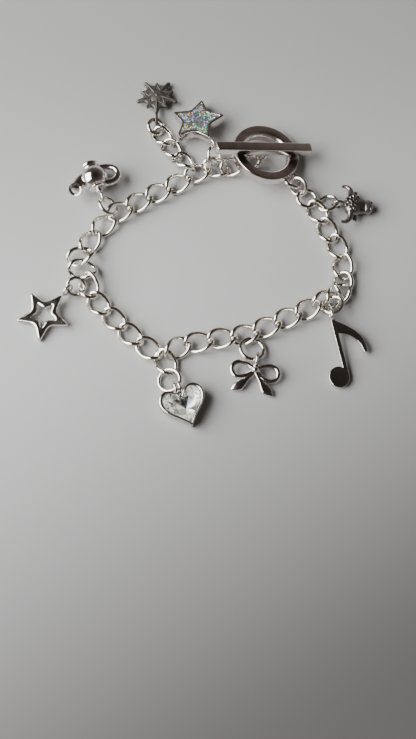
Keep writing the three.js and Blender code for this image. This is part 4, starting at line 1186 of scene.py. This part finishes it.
def bow():
    """Two open loops and two tails of flattened wire, gathered in a knot."""
    knot = BAIL_REACH + BOW_RIBBON
    reach = (BOW - BOW_RIBBON) / 2
    charm = Casting()
    for side in (1, -1):
        line = []
        for turn in around(48):
            along = reach * (1 - math.cos(turn)) / 2
            across = reach * BOW_LOOP_FULLNESS * math.sin(turn) * math.sin(turn / 2)
            x, y = swung(along, across, side * BOW_LOOP_SWING)
            line.append((knot + x, y, BOW_LOOP_WAVE * math.sin(turn)))
        charm.tube(line, BOW_RIBBON / 2, 14, True, 0.85)
        rings = []
        for share, wide, deep, rise, lean in BOW_TAIL_SECTIONS:
            ring = []
            for wave, swell in circle(16, 1.0):
                across = BOW_RIBBON * wide * fuller(wave, 0.5) + side * lean
                x, y = swung(BOW_TAIL * share, across, side * BOW_TAIL_SWING)
                ring.append((knot + 0.2 + x, y, rise + BOW_RIBBON * deep * fuller(swell, 0.6)))
            rings.append(ring)
        charm.loft(rings)
    charm.ball((knot, 0, 0.15), BOW_RIBBON, (0.72, 0.8, 0.85), 20)
    charm.ball((knot - 0.9, 0, 0.05), 0.85, (1.0, 0.9, 0.8))
    charm.bail()
    charm.cast("bow_cast", "bow", 0.8, 50)


def note():
    """A quaver of polished plate: oval head, thin stem and a curling flag."""
    length, width = NOTE_HEAD
    head_at = NOTE - length / 2
    middle = (NOTE_STEM - width) / 2
    charm = Casting()
    head = [(head_at + x, middle + y) for x, y in circle(56, length / 2, width / 2)]
    charm.plate(head, NOTE_THICKNESS, NOTE_ROUNDING)
    half = NOTE_STEM / 2
    stem = [(BAIL_REACH, -half), (head_at, -half), (head_at, half), (BAIL_REACH, half)]
    charm.plate(stem, NOTE_THICKNESS - 0.02, NOTE_ROUNDING)
    flag = through(FLAG_OUTER) + through(FLAG_INNER)
    charm.plate([(x + BAIL_REACH, y) for x, y in flag], NOTE_THICKNESS - 0.04, FLAG_ROUNDING)
    charm.bail()
    charm.cast("note_plate", "note", 0.4, 35)


def bull():
    """A small bull's head: broad poll with curls, tapering face, rounded muzzle and horns."""
    length, breadth, depth = BULL
    start, half, deep = BAIL_REACH, breadth / 2, depth / 2
    charm = Casting()
    rows = []
    for share, wide, tall, rise in BULL_SECTIONS:
        ring = circle(24, half * wide, deep * tall)
        rows.append([(start + length * share, y, rise + z) for y, z in ring])
    charm.loft(rows)
    spread = BULL_HORN_SPREAD / 2
    for side in (1, -1):
        horn = bezier(
            (start + 1.4, side * half * 0.5),
            (start + 2.1, side * spread * 0.75),
            (start + 0.9, side * spread * 1.12),
            (start - 1.1, side * (spread - 0.3)),
            16,
        )
        line = [(x, y, 0.6 - 0.02 * i) for i, (x, y) in enumerate(horn)]
        radii = [BULL_HORN_ROOT - BULL_HORN_THINNING * (i / len(line)) ** 1.2 for i in range(len(line))]
        charm.tube(line, radii, 12)
        ear = [(start + along, side * (half + beyond), up) for along, beyond, up, _ in BULL_EAR]
        charm.tube(ear, [radius for *_, radius in BULL_EAR], 12, False, 0.5)
        for along, aside, up, radius, stretch, turn in BULL_RELIEF:
            charm.ball((start + along, side * aside, up), radius, stretch, 12, side * turn)
    for k in range(BULL_CURLS):
        reach = CURL_STEP * math.sqrt(k)
        x, y = polar(reach, CURL_TURN * k)
        charm.ball((start + 1.7 + x, y * 1.2, deep * 0.87 - 0.09 * reach), 0.52, (1.0, 1.0, 0.75), 10)
    charm.ball((start + 5.95, 0, -0.25), 1.85, (0.78, 1.08, 0.82), 28)
    charm.bail()
    charm.cast("bull_cast", "bull_head", 0.9, 60, antique_silver)


def teapot():
    """A teapot hung by its lid: turned body with beads, a bent spout and a looped handle."""
    top = BAIL_REACH
    belly = TEAPOT_BELLY / 2
    middle = top + TEAPOT * TEAPOT_MIDDLE
    charm = Casting()
    rows = []
    for share, wide in TEAPOT_BODY:
        rows.append([(top + TEAPOT * share, y, z) for y, z in circle(40, belly * wide)])
    charm.loft(rows)
    spout = bezier(
        (middle + 0.8, belly * 0.5),
        (middle + 0.7, belly + 0.6),
        (middle - 0.6, belly + 1.1),
        (middle - 2.2, TEAPOT_SPOUT),
        12,
    )
    radii = [1.5 - 0.08 * i / 12 for i in range(11)]
    charm.tube([(x, y, 0) for x, y in spout[:11]], radii, 20)
    lip = Vector((middle - 1.9, TEAPOT_SPOUT - 0.2, 0.75))
    facing = Vector((-1.0, 0.75, 1.5)).normalized()
    side = Vector((0, 0, 1)).cross(facing).normalized()
    rings = []
    for radius, step in SPOUT_MOUTH:
        spokes = [side * x + facing.cross(side) * y for x, y in circle(20, 1.0)]
        rings.append([lip + facing * step + spoke * radius for spoke in spokes])
    charm.loft(rings, True)
    handle = bezier(
        (middle - 2.4, -belly * 0.6),
        (middle - 3.4, -TEAPOT_HANDLE + 0.6),
        (middle - 1.4, -TEAPOT_HANDLE - 0.25),
        (middle, -TEAPOT_HANDLE),
        12,
    ) + bezier(
        (middle, -TEAPOT_HANDLE),
        (middle + 1.5, -TEAPOT_HANDLE + 0.2),
        (middle + 2.3, -belly - 0.6),
        (middle + 2.6, -belly * 0.5),
        12,
    )
    charm.tube([(x, y, 0) for x, y in handle], [0.95 - 0.011 * i for i in range(len(handle))], 16)
    for y, z in circle(LID_BEADS, belly * 0.63):
        charm.ball((top + TEAPOT * 0.205, y, z), LID_BEAD, steps=8)
    charm.bail()
    charm.cast("teapot_cast", "teapot", 1.4, 50)


def snowflake():
    """A spiky plate: five arms with barbs, ball tips, a raised middle with ribs."""
    tip = SNOWFLAKE / 2
    arms = [math.pi + turn for turn in around(STAR_TIPS)]
    outline = []
    for arm in arms:
        outline += [polar(tip * share, arm + math.radians(angle)) for angle, share in SPIKE_OUTLINE]
    charm = Casting()
    charm.plate(rounded(outline, 0.2, 2), SNOWFLAKE_THICKNESS, 0.3)
    charm.ball((0, 0, 0), tip * 0.5, (1, 1, 0.34), 24)
    for number, arm in enumerate(arms):
        if number:
            charm.ball((*polar(tip - 0.55, arm), 0), 0.6, (1, 1, 1), 14)
        ridge = [(*polar(tip * share, arm), 0.55 + 0.18 * (1 - share)) for share, _ in SPIKE_RIB]
        charm.tube(ridge, [radius for _, radius in SPIKE_RIB], 8)
        for sign in (1, -1):
            root = Vector((*polar(tip * 0.3, arm), 0.6))
            end = Vector((*polar(tip * 0.62, arm + sign * math.pi / STAR_TIPS), 0.5))
            charm.tube([root, root.lerp(end, 0.5), end], [0.2, 0.18, 0.12], 8)
    charm.ball((0, 0, 0.72), 0.5, (1, 1, 0.8), 12)
    charm.moved(tip + BAIL_REACH)
    charm.bail()
    charm.cast("snowflake_cast", "snowflake", 1.3, 50, worn_silver)


# The clasp.
CLASP_TURN = spin(-CLASP_NEAR_UP, "X") @ spin(CLASP_LEFT_UP, "Y")


def clasp_ring():
    """The toggle's ring: flat top, rounded outer edge, sloping inner face, with its cast loop."""
    outer = CLASP_RING / 2
    half = CLASP_THICKNESS / 2

    def along_band(step):
        return step + (outer - CLASP_BAND if step > 0 else outer)

    profile = [(along_band(step), up - half) for step, up in CLASP_FOOT]
    profile += [(along_band(step), half - down) for step, down in CLASP_TOP]
    ring = Casting()
    ring.loft([[(*polar(reach, turn), z) for reach, z in profile] for turn in around(CLASP_STEPS)], True)
    reach = outer + CLASP_LOOP / 2 - CLASP_LOOP_WIRE
    line = []
    for turn in around(48):
        drawn = 1 + CLASP_LOOP_DRAWN * math.cos(CLASP_LOOP_CORNERS * turn)
        x, y = polar((CLASP_LOOP - CLASP_LOOP_WIRE) / 2 * drawn, turn)
        line.append((*swung(reach + x, y, CLASP_LOOP_TURN), 0))
    ring.tube(line, CLASP_LOOP_WIRE / 2, 16, True)
    _, low, high = turned_back("toggle_ring", CLASP_TURN)
    place = lie((low[0] + outer, high[1] - outer, (low[2] + high[2]) / 2), CLASP_TURN)
    mesh = ring.mesh("clasp_ring", place, 0.5)
    finished("clasp_ring", mesh, clasp_silver, ["toggle_ring"], 38)


def clasp_bar():
    """The toggle's bar, square with softened edges and ends, and its shank loop beneath."""
    end = BAR_LENGTH / 2
    bar = Casting()

    def section(x, inset):
        wide, high = BAR_WIDTH / 2 - inset, BAR_THICKNESS / 2 - inset
        corner = rounded([(wide, -high), (wide, high), (-wide, high), (-wide, -high)], BAR_ROUNDING, 5)
        return [(x, y, z) for y, z in corner]

    rows = [section(step - end, inset) for step, inset in BAR_ENDS]
    bar.loft(rows + [section(end - step, inset) for step, inset in reversed(BAR_ENDS)])
    radius = (SHANK - SHANK_WIRE) / 2
    drop = BAR_THICKNESS / 2 + radius - SHANK_WIRE * SHANK_SET
    bar.tube([(x, 0, z - drop) for x, z in circle(BAIL_STEPS, radius)], SHANK_WIRE / 2, WIRE_SIDES, True)
    turn = CLASP_TURN @ spin(BAR_TURN, "Z")
    _, low, high = turned_back("toggle_bar", turn)
    middle = (low + high) / 2
    place = lie((middle[0], middle[1], high[2] - BAR_THICKNESS / 2), turn)
    mesh = bar.mesh("clasp_bar", place, 0.5)
    finished("clasp_bar", mesh, clasp_silver, ["toggle_bar"], 38)


lay_wires()
open_star()
glitter_star()
heart()
bow()
note()
bull()
teapot()
snowflake()
clasp_ring()
clasp_bar()

# The surface, the window, the room and the camera, in metres and degrees.
FLOOR_REACH = 1.6
WINDOW_AT = (-0.55, -0.03, 0.40)
WINDOW_AIM = (-0.06, 0.02, 0)
WINDOW_SIZE = (0.8, 0.6)
WINDOW_POWER = 15.0
WINDOW_COLOUR = (1.0, 0.99, 0.98)
ROOM_TONES = [
    (0.0, (0.42, 0.42, 0.43)),
    (0.1, (0.32, 0.31, 0.31)),
    (0.24, (0.14, 0.125, 0.115)),
    (0.5, (0.10, 0.08, 0.07)),
    (0.85, (0.045, 0.037, 0.032)),
    (1.0, (0.02, 0.017, 0.015)),
]
VIEW_MIDDLE = (0.002657, -0.0330924, 0.0)
VIEW_DISTANCE = 0.2634738
VIEW_TILT = 21
VIEW_LENS = 53.6
VIEW_SENSOR = 36


def surface():
    size = FLOOR_REACH
    mesh = bpy.data.meshes.new("surface")
    corners = [(-size, -size, 0), (size, -size, 0), (size, size, 0), (-size, size, 0)]
    mesh.from_pydata(corners, [], [(0, 1, 2, 3)])
    mesh.materials.append(board)
    floor = bpy.data.objects.new("surface", mesh)
    bpy.context.scene.collection.objects.link(floor)


def window():
    light = bpy.data.lights.new("window", "AREA")
    light.shape = "RECTANGLE"
    light.size, light.size_y = WINDOW_SIZE
    light.energy = WINDOW_POWER
    light.color = WINDOW_COLOUR
    lamp = bpy.data.objects.new("window", light)
    lamp.location = WINDOW_AT
    lamp.rotation_euler = (Vector(WINDOW_AIM) - Vector(WINDOW_AT)).to_track_quat("-Z", "Y").to_euler()
    bpy.context.scene.collection.objects.link(lamp)


def room():
    """A dim room: dark and warm overhead, paler towards the walls."""
    world = bpy.data.worlds.new("room")
    bpy.context.scene.world = world
    world.use_nodes = True
    nodes = Nodes(world.node_tree)
    _, _, up = nodes.parts(nodes.add("ShaderNodeTexCoord").outputs["Generated"])
    background = world.node_tree.nodes["Background"]
    plug(world.node_tree, background.inputs["Color"], nodes.ramp(up.clamped(), ROOM_TONES))
    background.inputs["Strength"].default_value = 1.0


def look():
    camera = bpy.data.cameras.new("camera")
    camera.lens = VIEW_LENS
    camera.sensor_width = VIEW_SENSOR
    camera.clip_start = 0.01
    viewer = bpy.data.objects.new("camera", camera)
    viewer.location = Vector(VIEW_MIDDLE) + spin(VIEW_TILT, "X") @ Vector((0, 0, VIEW_DISTANCE))
    viewer.rotation_euler = (math.radians(VIEW_TILT), 0, 0)
    bpy.context.scene.collection.objects.link(viewer)
    bpy.context.scene.camera = viewer


surface()
room()
window()
look()
